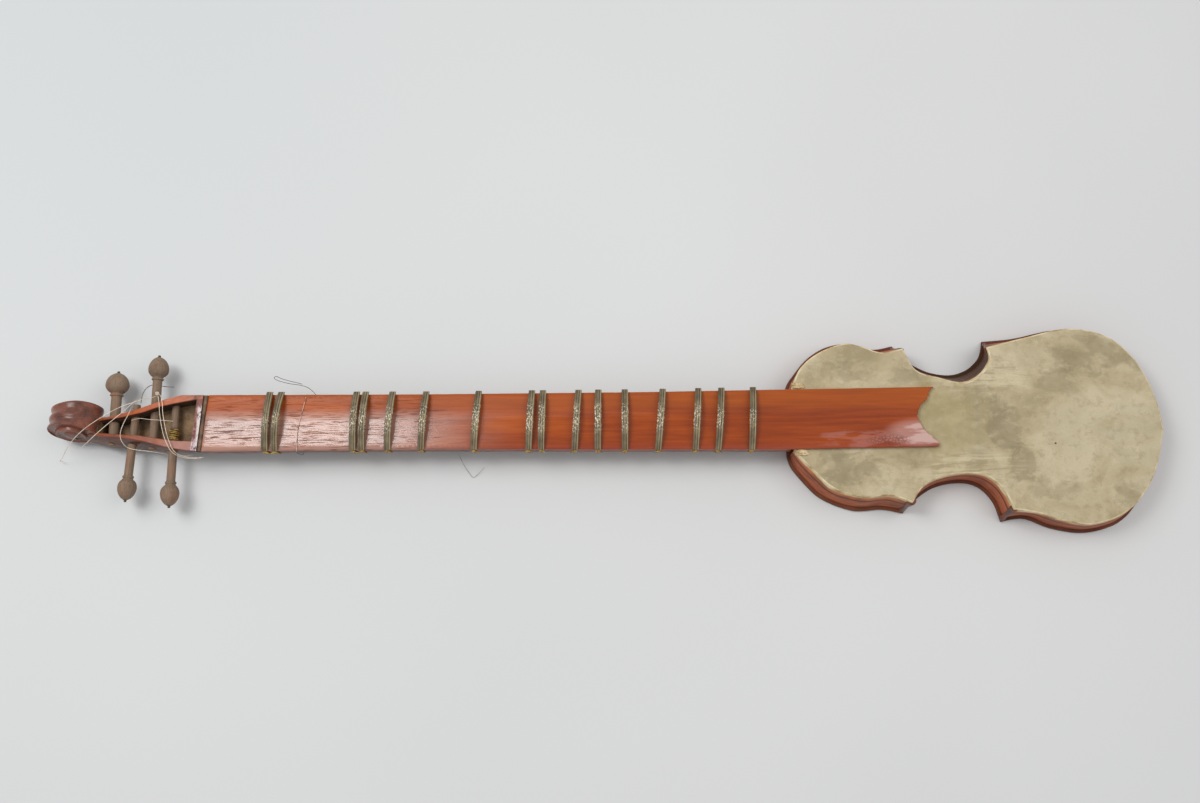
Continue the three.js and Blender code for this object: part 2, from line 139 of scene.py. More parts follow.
def table(rows, x):
    """The second column of rows of pairs, read at x."""
    rows = np.array(rows, float)
    return float(np.interp(x, rows[:, 0], rows[:, 1]))


def smoothstep(x, low, high):
    t = min(max((x - low) / (high - low), 0), 1)
    return t * t * (3 - 2 * t)


def wobble(x, y, z, size, seed=0.0):
    """Smooth noise from -1 to 1, with features about `size` mm across."""
    return noise.noise(Vector((x / size + seed, y / size - seed, z / size + 2 * seed)))


# ---- helpers: meshes ----
def mesh_object(name, verts, faces, materials, slots, sharp):
    """A smooth-shaded object from points in mm, creased where faces meet at more than `sharp` degrees."""
    mesh = bpy.data.meshes.new(name)
    mesh.from_pydata((np.asarray(verts, float) * MM).tolist(), [], [list(map(int, f)) for f in faces])
    for material in materials:
        mesh.materials.append(material)
    mesh.polygons.foreach_set("material_index", slots)
    bm = bmesh.new()
    bm.from_mesh(mesh)
    bmesh.ops.remove_doubles(bm, verts=bm.verts, dist=1e-7)
    bmesh.ops.recalc_face_normals(bm, faces=bm.faces)
    bm.to_mesh(mesh)
    bm.free()
    mesh.shade_smooth()
    mesh.set_sharp_from_angle(angle=math.radians(sharp))
    return add_object(name, mesh)


def join_rings(name, groups, materials, ring_slots=None, sharp=60):
    """One mesh of closed solids, each a list of rings. ring_slots are the materials round a ring."""
    verts, faces, slots = [], [], []
    for rings in groups:
        rings = np.asarray(rings, float)
        count, size = rings.shape[:2]
        start = len(verts)
        verts.extend(rings.reshape(-1, 3))
        for r in range(count - 1):
            for k in range(size):
                a, b = start + r * size + k, start + r * size + (k + 1) % size
                faces.append((a, b, b + size, a + size))
                slots.append(ring_slots[k] if ring_slots else 0)
        faces.append(tuple(range(start + size - 1, start - 1, -1)))
        faces.append(tuple(range(start + (count - 1) * size, start + count * size)))
        slots += [0, 0]
    return mesh_object(name, verts, faces, materials, slots, sharp)


def loft(name, rings, materials, ring_slots=None, sharp=40):
    """A closed solid over rings of equal length."""
    return join_rings(name, [rings], materials, ring_slots, sharp)


def inside(points, loop):
    """Which of the points lie inside the closed loop."""
    x, y = points[:, 0], points[:, 1]
    result = np.zeros(len(points), bool)
    for (x0, y0), (x1, y1) in zip(loop, np.roll(loop, -1, axis=0)):
        crosses = (y0 > y) != (y1 > y)
        with np.errstate(divide="ignore", invalid="ignore"):
            result ^= crosses & (x < (x1 - x0) * (y - y0) / (y1 - y0) + x0)
    return result


def filled(loop, step_x, step_y, margin):
    """Triangles over the inside of a loop, with a grid of extra points after the loop's own."""
    low, high = loop.min(0), loop.max(0)
    xs = np.arange(low[0] + step_x / 2, high[0], step_x)
    ys = np.arange(low[1] + step_y / 2, high[1], step_y)
    grid = np.array([(x + (step_x / 2 if j % 2 else 0), y) for j, y in enumerate(ys) for x in xs])
    grid = grid[inside(grid, loop)]
    distance = np.min(np.linalg.norm(grid[:, None] - loop[None], axis=2), axis=1)
    points = np.vstack([loop, grid[distance > margin]])
    n = len(loop)
    edges = [(i, (i + 1) % n) for i in range(n)]
    out = delaunay_2d_cdt([Vector(p) for p in points], edges, [], 1, 1e-5)
    verts = [*loop]
    numbers = {}
    for index, (vert, origins) in enumerate(zip(out[0], out[3])):
        on_loop = [o for o in origins if o < n]
        numbers[index] = on_loop[0] if on_loop else len(verts)
        if not on_loop:
            verts.append(np.array(vert))
    return np.array(verts), [[numbers[i] for i in f] for f in out[2]]


def inset(loop, distance):
    """The closed loop moved to its left (inwards when it runs anticlockwise)."""
    along = np.roll(loop, -1, axis=0) - np.roll(loop, 1, axis=0)
    along /= np.maximum(np.linalg.norm(along, axis=1, keepdims=True), 1e-9)
    inward = np.stack([-along[:, 1], along[:, 0]], axis=1)
    return loop + inward * np.reshape(distance, (-1, 1))


def slab(name, loops, materials, slots, step, top_z=None, bottom_z=None, sharp=40):
    """A closed plate from a stack of loops, each (points, z values), top first, filled at both ends.

    slots are the materials of the top, the wall and the underside.
    """
    n = len(loops[0][0])
    verts, faces, face_slots = [], [], []
    start = count = 0
    for index, (points, height) in enumerate(loops):
        ends = {0: top_z, len(loops) - 1: bottom_z}
        fill = []
        if index in ends:
            points, fill = filled(points, *step)
            shape = ends[index]
            height = [shape(x, y) for x, y in points] if shape else height
        previous, start = start, count
        count += len(points)
        verts.append(np.column_stack([points, np.broadcast_to(height, (len(points),))]))
        if index:
            for i in range(n):
                k = (i + 1) % n
                faces.append([previous + i, previous + k, start + k, start + i])
            face_slots += [slots[1]] * n
        faces += [[start + i for i in f] for f in fill]
        face_slots += [slots[2 if index else 0]] * len(fill)
    return mesh_object(name, np.vstack(verts), faces, materials, face_slots, sharp)


def tube_rings(path, radius, sides):
    """Rings round a path, with one steady frame along it. radius is one number or one for each point."""
    path = np.asarray(path, float)
    radii = np.broadcast_to(radius, (len(path),))
    tangent = np.gradient(path, axis=0)
    tangent /= np.linalg.norm(tangent, axis=1, keepdims=True)
    side = np.cross(tangent[0], (0.3, 0.2, 0.93))
    rings = []
    angles = np.linspace(0, 2 * math.pi, sides, endpoint=False)
    for p, t, r in zip(path, tangent, radii):
        side = side - t * side.dot(t)
        side /= np.linalg.norm(side)
        up = np.cross(t, side)
        rings.append([p + r * (math.cos(a) * side + math.sin(a) * up) for a in angles])
    return rings


def place(piece, body, slot, *nodes):
    """Hang a piece on its body and hide the plain nodes it stands for. The slot, what it is made of, is not
    used.
    """
    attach(piece, body)
    if nodes:
        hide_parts(*nodes)
    return piece


# ---- helpers: materials ----
def rgb(r, g, b):
    """Linear colour of an 8-bit display colour."""
    channels = [c / 255 for c in (r, g, b)]
    return tuple(c / 12.92 if c <= 0.04045 else ((c + 0.055) / 1.055) ** 2.4 for c in channels) + (1,)


class Surface:
    """A node material built from object coordinates in millimetres."""

    def __init__(self, name, roughness=0.5, metallic=0.0, specular=0.5):
        self.material = bpy.data.materials.new(name)
        self.material.use_nodes = True
        self.tree = self.material.node_tree
        self.tree.nodes.clear()
        output = self.node("ShaderNodeOutputMaterial")
        self.shader = self.node("ShaderNodeBsdfPrincipled")
        self.link(self.shader.outputs["BSDF"], output.inputs["Surface"])
        self.shader.inputs["Roughness"].default_value = roughness
        self.shader.inputs["Metallic"].default_value = metallic
        self.shader.inputs["Specular IOR Level"].default_value = specular
        self.object = self.node("ShaderNodeTexCoord").outputs["Object"]
        self.xyz = None
        self.base = None

    def node(self, kind, **settings):
        made = self.tree.nodes.new(kind)
        for key, value in settings.items():
            setattr(made, key, value)
        return made

    def link(self, a, b):
        self.tree.links.new(a, b)

    def put(self, value, socket):
        """Link the socket to an output, or set it to a plain value."""
        if hasattr(value, "is_output"):
            self.link(value, socket)
        else:
            socket.default_value = value

    def scaled(self, x, y, z, offset=(0, 0, 0)):
        """Coordinates so that one unit is x by y by z millimetres."""
        mapping = self.node("ShaderNodeMapping")
        self.link(self.object, mapping.inputs["Vector"])
        mapping.inputs["Scale"].default_value = (1000 / x, 1000 / y, 1000 / z)
        mapping.inputs["Location"].default_value = offset
        return mapping.outputs["Vector"]

    def noise(self, size, detail=4.0, roughness=0.55, distortion=0.0, offset=(0, 0, 0)):
        """Noise with features of the given (x, y, z) size in mm."""
        made = self.node("ShaderNodeTexNoise")
        self.link(self.scaled(*size, offset=offset), made.inputs["Vector"])
        made.inputs["Scale"].default_value = 1.0
        made.inputs["Detail"].default_value = detail
        made.inputs["Roughness"].default_value = roughness
        made.inputs["Distortion"].default_value = distortion
        return made.outputs["Fac"]

    def cells(self, size):
        """Distance to the nearest edge between cells of the given (x, y, z) size in mm."""
        made = self.node("ShaderNodeTexVoronoi", feature="DISTANCE_TO_EDGE")
        self.link(self.scaled(*size), made.inputs["Vector"])
        made.inputs["Scale"].default_value = 1.0
        return made.outputs["Distance"]

    def axis(self, name):
        """X, Y or Z of the point in millimetres."""
        if self.xyz is None:
            self.xyz = self.node("ShaderNodeSeparateXYZ")
            self.link(self.scaled(1, 1, 1), self.xyz.inputs[0])
        return self.xyz.outputs[name]

    def span(self, value, low, high, out_low=0.0, out_high=1.0):
        """A smooth step from out_low to out_high as the value goes from low to high."""
        made = self.node("ShaderNodeMapRange", interpolation_type="SMOOTHSTEP")
        self.put(value, made.inputs["Value"])
        sockets = ("From Min", "From Max", "To Min", "To Max")
        for socket, number in zip(sockets, (low, high, out_low, out_high)):
            made.inputs[socket].default_value = number
        return made.outputs["Result"]

    def along(self, axis, low, high, out_low=0.0, out_high=1.0):
        """A smooth step between two places on an axis, in mm."""
        return self.span(self.axis(axis), low, high, out_low, out_high)

    def times(self, a, b):
        return self.math("MULTIPLY", a, b)

    def math(self, operation, a, b=0.0, clamp=False):
        made = self.node("ShaderNodeMath", operation=operation, use_clamp=clamp)
        self.put(a, made.inputs[0])
        self.put(b, made.inputs[1])
        return made.outputs[0]

    def ramp(self, value, *stops):
        made = self.node("ShaderNodeValToRGB")
        self.put(value, made.inputs["Fac"])
        elements = made.color_ramp.elements
        while len(elements) < len(stops):
            elements.new(0.5)
        for element, (position, color) in zip(elements, stops):
            element.position = position
            element.color = color
        return made.outputs["Color"]

    def mix(self, factor, a, b):
        made = self.node("ShaderNodeMix", data_type="RGBA")
        self.put(factor, made.inputs["Factor"])
        self.put(a, made.inputs["A"])
        self.put(b, made.inputs["B"])
        return next(o for o in made.outputs if o.type == "RGBA")

    def cover(self, color, mask, amount=None):
        """Lay a colour over the base where the mask is, as strongly as the amount says."""
        factor = mask if amount is None else self.times(mask, amount)
        self.base = self.mix(factor, self.base, color)

    def blob(self, x, y, rx, ry, ragged=None):
        """1 inside an ellipse seen from above, 0 outside, with a ragged edge where a noise is given."""
        dx = self.times(self.math("SUBTRACT", self.axis("X"), x), 1 / rx)
        dy = self.times(self.math("SUBTRACT", self.axis("Y"), y), 1 / ry)
        distance = self.math("ADD", self.times(dx, dx), self.times(dy, dy))
        if ragged is not None:
            distance = self.math("ADD", distance, self.span(ragged, 0.3, 0.7, -0.9, 0.9))
        return self.span(distance, 1.15, 0.15)

    def finish(self, roughness=None, height=None, strength=0.3, distance=0.3):
        """Feed the shader; the height makes a bump of the given strength and depth in mm."""
        self.put(self.base, self.shader.inputs["Base Color"])
        if roughness is not None:
            self.put(roughness, self.shader.inputs["Roughness"])
        if height is not None:
            bump = self.node("ShaderNodeBump")
            bump.inputs["Strength"].default_value = strength
            bump.inputs["Distance"].default_value = distance * MM
            self.link(height, bump.inputs["Height"])
            self.link(bump.outputs["Normal"], self.shader.inputs["Normal"])
        return self.material


def board_varnish():
    """Orange-red varnish over long grain, crazed along the grain, with a painted pale reflection of the
    softbox over the nut end and a bruised pale patch by the tail.
    """
    s = Surface("board_varnish", specular=0.5)
    grain = s.noise((60, 3.2, 8), detail=6, roughness=0.65)
    tone = s.noise((170, 26, 60), detail=3)
    s.base = s.ramp(s.math("ADD", s.times(grain, 0.45), s.times(tone, 0.55)),
                  (0.36, rgb(122, 44, 2)), (0.5, rgb(150, 60, 3)), (0.64, rgb(172, 78, 6)))
    far_strip = s.along("Y", 4, 20)
    s.cover(rgb(168, 84, 6), far_strip, 0.4)
    edge_strip = s.along("Y", -21, -26)
    s.cover(rgb(140, 56, 40), edge_strip, 0.5)
    left = s.along("X", -440, -600)
    # Painted reflection: a pale glare of the overhead softbox laid over the nut end of the board, fading out
    # towards the far edge.
    painted_reflection = s.times(left, s.along("Y", 16, 2))
    s.cover(rgb(176, 160, 148), painted_reflection, 0.46)
    dash = s.noise((17, 1.15, 6), detail=2, roughness=0.4)
    patch = s.span(s.noise((60, 20, 30), detail=3, offset=(3, 1, 0)), 0.36, 0.54)
    crack = s.times(s.span(dash, 0.4, 0.34), s.times(patch, s.times(left, s.along("Y", 22, 10, 0.25, 1))))
    fine = s.times(s.span(s.noise((16, 0.9, 3), detail=2, offset=(1, 2, 8)), 0.45, 0.38), left)
    ragged = s.noise((26, 6, 10), detail=4, offset=(2, 6, 1))
    s.cover(rgb(176, 120, 112), s.blob(-90, -20, 66, 9, ragged), 0.4)
    s.cover(rgb(196, 150, 140), s.blob(-66, -14, 36, 15), 0.55)
    s.cover(rgb(214, 188, 178), s.blob(-60, -15, 20, 12, ragged), 0.5)
    holes = s.times(s.blob(-96, -21, 24, 6), s.span(s.cells((3.2, 2.2, 3)), 0.2, 0.1))
    s.cover(rgb(96, 50, 42), holes, 0.6)
    s.cover(rgb(120, 70, 50), fine, 0.35)
    s.cover(rgb(88, 46, 38), crack, 0.7)
    height = s.math("SUBTRACT", s.times(grain, 0.12), s.times(crack, 0.5))
    rough = s.span(s.noise((30, 6, 10), detail=3), 0.3, 0.7, 0.15, 0.2)
    rough = s.math("ADD", rough, s.times(s.math("ADD", crack, fine, clamp=True), 0.4))
    rough = s.math("ADD", rough, s.along("Y", 0, 8, 0, 0.2))
    return s.finish(rough, height, 0.16, 0.2)


def red_wood(name, dark, middle, light, roughness=0.34, scratch=0.3):
    """Old red-brown varnish with darker grime and fine scratches."""
    s = Surface(name, roughness=roughness, specular=0.5)
    tone = s.noise((22, 14, 12), detail=6, roughness=0.6, distortion=0.4)
    s.base = s.ramp(tone, (0.36, dark), (0.5, middle), (0.66, light))
    fine = s.noise((7, 0.9, 1.4), detail=5, roughness=0.7)
    s.cover(light, s.span(fine, 0.52, 0.72, 0, 0.28))
    grime = s.span(s.noise((5, 5, 4), detail=4, offset=(4, 4, 4)), 0.54, 0.66)
    s.cover(dark, grime, 0.45)
    rough = s.span(fine, 0.3, 0.7, roughness - 0.08, roughness + 0.16)
    return s.finish(rough, s.math("ADD", tone, s.times(fine, 0.5)), scratch, 0.3)


def rib_wood():
    """Red-brown ribs: lighter near the top, a dark groove under that, painted shade nearly black at the foot
    and painted shade on the far waist.
    """
    s = Surface("rib_wood", specular=0.18)
    grain = s.noise((26, 26, 1.8), detail=6, roughness=0.65)
    s.base = s.ramp(grain, (0.34, rgb(124, 62, 40)), (0.52, rgb(172, 94, 62)), (0.7, rgb(200, 120, 78)))
    high = s.along("Z", 22, 27)
    s.cover(rgb(206, 136, 84), high, 0.75)
    groove = s.times(s.along("Z", 18.8, 20), s.along("Z", 22.4, 21.2))
    s.cover(rgb(66, 34, 28), groove, 0.75)
    # Painted shade: the foot of the ribs and the edge of the back, down by the floor, darkened nearly to
    # black.
    low = s.along("Z", 8, 1.5)
    s.cover(rgb(58, 34, 27), low, 0.8)
    stain = s.span(s.noise((24, 24, 12), detail=4, offset=(1, 5, 2)), 0.5, 0.66)
    s.cover(rgb(92, 56, 42), stain, 0.45)
    # Painted shade, over some olive-brown colour of its own: the far waist rib, which faces away from the key
    # light, is darkened.
    s.cover(rgb(58, 40, 24), s.blob(-16, 60, 50, 30), 0.9)
    return s.finish(s.span(grain, 0.3, 0.7, 0.34, 0.56), grain, 0.3, 0.3)


def plain_wood():
    """Pale unfinished wood for the blocks inside."""
    s = Surface("plain_wood", specular=0.3)
    grain = s.noise((30, 1.6, 3), detail=5, roughness=0.6)
    s.base = s.ramp(grain, (0.35, rgb(150, 112, 72)), (0.65, rgb(190, 152, 106)))
    return s.finish(s.span(grain, 0.3, 0.7, 0.7, 0.9), grain, 0.3, 0.3)


# Stains on the skin: x, y, radius along x, radius along y, strength.
DARK_STAINS = [
    (2, 5, 20, 15, 0.5), (18, -14, 16, 24, 0.55), (30, -44, 15, 20, 0.5), (112, 62, 52, 20, 0.45),
    (-130, -46, 30, 14, 0.5), (56, -68, 22, 13, 0.35), (132, -74, 16, 12, 0.4), (-142, 46, 30, 12, 0.35),
    (-78, 44, 20, 9, 0.35), (70, 34, 26, 14, 0.3), (-8, 26, 20, 14, 0.3), (-152, -34, 14, 8, 0.35),
]
PALE_STAINS = [
    (150, -20, 34, 46, 0.5), (92, -10, 40, 26, 0.45), (40, 60, 26, 14, 0.35), (-20, -36, 40, 9, 0.4),
]


def skin_surface():
    """Dull animal skin: blotches, a yellowish waist, painted light and shade streaks standing in for the
    folds at the waist, fine pores and one small dark spot.
    """
    s = Surface("skin", specular=0.3)
    cloud = s.noise((60, 48, 60), detail=7, roughness=0.62, distortion=0.4)
    s.base = s.ramp(cloud, (0.36, rgb(159, 145, 112)), (0.5, rgb(180, 165, 132)), (0.64, rgb(198, 184, 153)))
    ragged = s.noise((22, 16, 16), detail=5, roughness=0.6, distortion=0.6, offset=(5, 5, 5))
    for x, y, rx, ry, strength in DARK_STAINS:
        s.cover(rgb(136, 123, 95), s.blob(x, y, rx, ry, ragged), strength)
    for x, y, rx, ry, strength in PALE_STAINS:
        s.cover(rgb(190, 178, 150), s.blob(x, y, rx, ry, ragged), strength)
    mottle = s.span(s.noise((9, 8, 9), detail=5, roughness=0.7, offset=(3, 7, 0)), 0.5, 0.66)
    s.cover(rgb(140, 124, 92), mottle, 0.3)
    light = s.span(s.noise((12, 9, 9), detail=5, roughness=0.7, offset=(7, 1, 3)), 0.54, 0.66)
    s.cover(rgb(204, 190, 160), light, 0.25)
    waist = s.blob(-36, -2, 34, 42, s.noise((14, 30, 20), detail=5))
    s.cover(rgb(168, 152, 104), waist, 0.35)
    # Painted highlight and shade: pale and dark streaks over the waist stand in for the light and shade on
    # the skin's folds.
    fold_light_and_shade = s.noise((34, 3.6, 8), detail=3, roughness=0.45, distortion=0.8, offset=(9, 2, 4))
    across = s.math("ADD", s.blob(-14, -46, 58, 18), s.blob(-4, 42, 62, 18), clamp=True)
    s.cover(rgb(208, 195, 160), across, s.span(fold_light_and_shade, 0.52, 0.62, 0, 0.45))
    s.cover(rgb(140, 124, 90), across, s.span(fold_light_and_shade, 0.46, 0.38, 0, 0.42))
    pore = s.noise((1.1, 1.1, 1.1), detail=3, roughness=0.6)
    s.cover(rgb(120, 106, 80), s.span(pore, 0.5, 0.75, 0, 0.2))
    s.cover(rgb(48, 40, 34), s.blob(63.5, -24.5, 1.3, 1.1), 0.9)
    height = s.math("ADD", s.times(pore, 0.35), s.times(cloud, 0.8))
    return s.finish(s.span(cloud, 0.3, 0.7, 0.6, 0.76), height, 0.28, 0.4)


def skin_edge_surface():
    """The thicker, yellower edge of the skin."""
    s = Surface("skin_edge", specular=0.4)
    cloud = s.noise((14, 14, 5), detail=6, roughness=0.65)
    s.base = s.ramp(cloud, (0.34, rgb(158, 130, 92)), (0.5, rgb(206, 184, 142)), (0.66, rgb(226, 212, 178)))
    fine = s.noise((2, 2, 1), detail=4)
    return s.finish(s.span(fine, 0.3, 0.7, 0.5, 0.75), fine, 0.4, 0.3)


def peg_wood():
    """Bare matt wood with reddish tints, dark at the tips and under the winding."""
    s = Surface("peg_wood", specular=0.3)
    grain = s.noise((1.0, 20, 1.0), detail=5, roughness=0.65)
    s.base = s.ramp(grain, (0.3, rgb(109, 89, 72)), (0.52, rgb(127, 106, 88)), (0.74, rgb(142, 121, 101)))
    tint = s.span(s.noise((16, 12, 16), detail=3, offset=(2, 8, 3)), 0.5, 0.66)
    s.cover(rgb(142, 99, 76), tint, 0.4)
    grime = s.span(s.noise((7, 8, 7), detail=4, offset=(6, 1, 3)), 0.55, 0.7)
    s.cover(rgb(88, 70, 56), grime, 0.35)
    for x, _, tip, _, _, _, slant in PEGS.values():
        tip_x = x - tip * math.sin(math.radians(slant))
        s.cover(rgb(52, 46, 38), s.blob(tip_x, tip, 3.2, 3.2), 0.8)
    s.cover(rgb(54, 38, 26), s.blob(PEGS["peg_d"][0], WINDING_MIDDLE, 8, 8), 0.8)
    return s.finish(s.span(grain, 0.3, 0.7, 0.55, 0.75), grain, 0.2, 0.2)


def fret_metal():
    """Tarnished grooved metal: painted highlights on the ridges, stronger towards the body side, painted
    shade in the grooves and on the nut side, and painted glints along the middle of the board.
    """
    s = Surface("fret_metal", metallic=0.6, specular=0.5)
    tone = s.noise((7, 12, 7), detail=5, roughness=0.6)
    s.base = s.ramp(tone, (0.35, rgb(104, 93, 74)), (0.52, rgb(134, 120, 96)), (0.7, rgb(160, 146, 116)))
    uv = s.node("ShaderNodeUVMap", uv_map="across")
    split = s.node("ShaderNodeSeparateXYZ")
    s.link(uv.outputs["UV"], split.inputs[0])
    across = split.outputs["X"]
    wave = s.math("COSINE", s.times(across, 3 * math.pi))
    # Painted highlight: light lines along the ridges, stronger towards the body side of the strip.
    ridge = s.times(s.span(wave, 0.1, 0.9), s.span(across, -0.3, 0.7, 0.1, 0.8))
    s.cover(rgb(196, 180, 138), ridge)
    # Painted shade in the grooves between the ridges, and on the nut side of the strip.
    s.cover(rgb(72, 60, 48), s.span(wave, -0.3, -0.95, 0, 0.4))
    s.cover(rgb(92, 80, 64), s.span(across, -0.1, -0.9, 0, 0.4))
    # Painted glints: light specks along the middle of the board, standing in for the glare of the overhead
    # softbox on the metal; they also raise the bump a little.
    middle = s.blob(-450, 2, 320, 17)
    painted_glint = s.times(s.span(s.noise((1.1, 1.8, 1.2), detail=3), 0.53, 0.6), middle)
    s.cover(rgb(236, 228, 204), painted_glint, 0.8)
    rough = s.span(tone, 0.3, 0.7, 0.3, 0.46)
    return s.finish(rough, s.math("ADD", tone, painted_glint), 0.3, 0.15)


def thread(name, dark, light, roughness, metallic=0.0):
    """Gut, string or wire that varies between two tones along its length."""
    s = Surface(name, metallic=metallic)
    tone = s.noise((2.4, 2.4, 2.4), detail=4)
    s.base = s.ramp(tone, (0.36, dark), (0.62, light))
    return s.finish(s.span(tone, 0.3, 0.7, roughness - 0.08, roughness + 0.12), tone, 0.3, 0.1)


def neck_wire_surface():
    """Fine wire, dark where it hangs clear, with a painted highlight where it lies on top of the board."""
    s = Surface("neck_wire", metallic=0.3)
    tone = s.noise((6, 6, 6), detail=3)
    dark = s.ramp(tone, (0.36, rgb(40, 37, 38)), (0.62, rgb(84, 74, 70)))
    # Painted highlight on the wire where it lies on top of the board; it stays dark where it hangs clear.
    painted_highlight = s.ramp(tone, (0.4, rgb(112, 80, 66)), (0.6, rgb(226, 198, 180)))
    s.base = s.mix(s.along("Z", 37.2, 38.2), dark, painted_highlight)
    return s.finish(0.35, tone, 0.2, 0.1)


def worn_paint():
    """Pinkish chipped paint on the end of the pegbox, with a painted white glare broken up by the chips where
    it meets the nut.
    """
    s = Surface("worn_paint", specular=0.4)
    chips = s.noise((2.2, 4, 3), detail=6, roughness=0.7)
    s.base = s.ramp(chips, (0.4, rgb(84, 46, 40)), (0.5, rgb(128, 80, 74)), (0.62, rgb(158, 116, 112)))
    # Painted reflection: a white glare laid over the chipped paint where the pegbox end meets the nut.
    white = s.times(s.along("X", -754.4, -752.4), s.along("Y", 19, 14))
    s.cover(rgb(216, 206, 200), white, s.span(chips, 0.4, 0.5, 0.1, 0.85))
    corner = s.along("Y", -12, -19)
    s.cover(rgb(210, 196, 200), corner, s.span(chips, 0.42, 0.52, 0, 0.7))
    dark = s.along("Y", 17, 23)
    s.cover(rgb(116, 72, 56), dark, 0.8)
    return s.finish(s.span(chips, 0.3, 0.7, 0.45, 0.65), chips, 0.5, 0.3)


def rim_surface():
    """Sawn tops of the pegbox walls: orange in the middle of the far wall, duller and redder elsewhere."""
    s = Surface("pegbox_rim", specular=0.45)
    tone = s.noise((14, 7, 9), detail=6, roughness=0.65)
    s.base = s.ramp(tone, (0.36, rgb(104, 54, 36)), (0.5, rgb(142, 74, 46)), (0.66, rgb(164, 92, 58)))
    orange = s.times(s.along("X", -832, -818), s.along("X", -757, -772))
    orange = s.times(orange, s.along("Y", 5, 10, 0.3, 1.0))
    s.cover(rgb(176, 86, 40), orange, s.span(tone, 0.36, 0.6, 0.95, 0.55))
    dull = s.times(s.along("X", -792, -778), s.along("Y", -10, -15))
    s.cover(rgb(152, 104, 92), dull, 0.75)
    near = s.times(s.along("Y", -6, -10), s.along("X", -780, -794))
    s.cover(rgb(112, 56, 38), near, 0.55)
    fine = s.noise((5, 0.8, 2), detail=5)
    return s.finish(s.span(fine, 0.3, 0.7, 0.3, 0.5), fine, 0.3, 0.2)


def floor_surface():
    """Pale backdrop, a little darker at the corner nearest the key light so that it looks even."""
    s = Surface("floor", roughness=0.85, specular=0.2)
    cloud = s.noise((700, 700, 700), detail=2)
    s.base = s.ramp(cloud, (0.35, rgb(211, 211, 210)), (0.65, rgb(216, 216, 215)))
    corner = s.times(s.along("X", 0, -900), s.along("Y", -600, 400))
    s.cover(rgb(196, 198, 198), corner)
    return s.finish()


VARNISH = board_varnish()
HEAD_WOOD = red_wood("head_wood", rgb(58, 32, 24), rgb(94, 53, 38), rgb(124, 70, 48))
SCROLL_WOOD = red_wood("scroll_wood", rgb(82, 50, 40), rgb(116, 70, 56), rgb(140, 78, 58), 0.24)
RIM_WOOD = rim_surface()
NECK_WOOD = red_wood("neck_wood", rgb(86, 40, 28), rgb(124, 60, 40), rgb(150, 78, 50))
INNER_WOOD = red_wood("inner_wood", rgb(34, 24, 17), rgb(70, 46, 31), rgb(104, 66, 40), 0.6)
FLOOR_WOOD = red_wood("pegbox_floor_wood", rgb(82, 64, 44), rgb(124, 98, 70), rgb(150, 122, 90), 0.7)
DARK_WOOD = red_wood("dark_wood", rgb(66, 48, 34), rgb(100, 74, 54), rgb(128, 98, 74), 0.45)
RIB_WOOD = rib_wood()
PLAIN_WOOD = plain_wood()
SKIN = skin_surface()
SKIN_EDGE_MATERIAL = skin_edge_surface()
PEG_WOOD = peg_wood()
FRET_METAL = fret_metal()
GUT = thread("gut", rgb(120, 92, 40), rgb(196, 160, 84), 0.5)
STRING = thread("string", rgb(196, 176, 154), rgb(232, 218, 200), 0.4)
WIRE = thread("wire", rgb(66, 62, 60), rgb(146, 134, 126), 0.3, 0.6)
NECK_WIRE = neck_wire_surface()
BRASS_WIRE = thread("brass_wire", rgb(150, 116, 44), rgb(226, 188, 96), 0.35, 0.4)
WORN_PAINT = worn_paint()


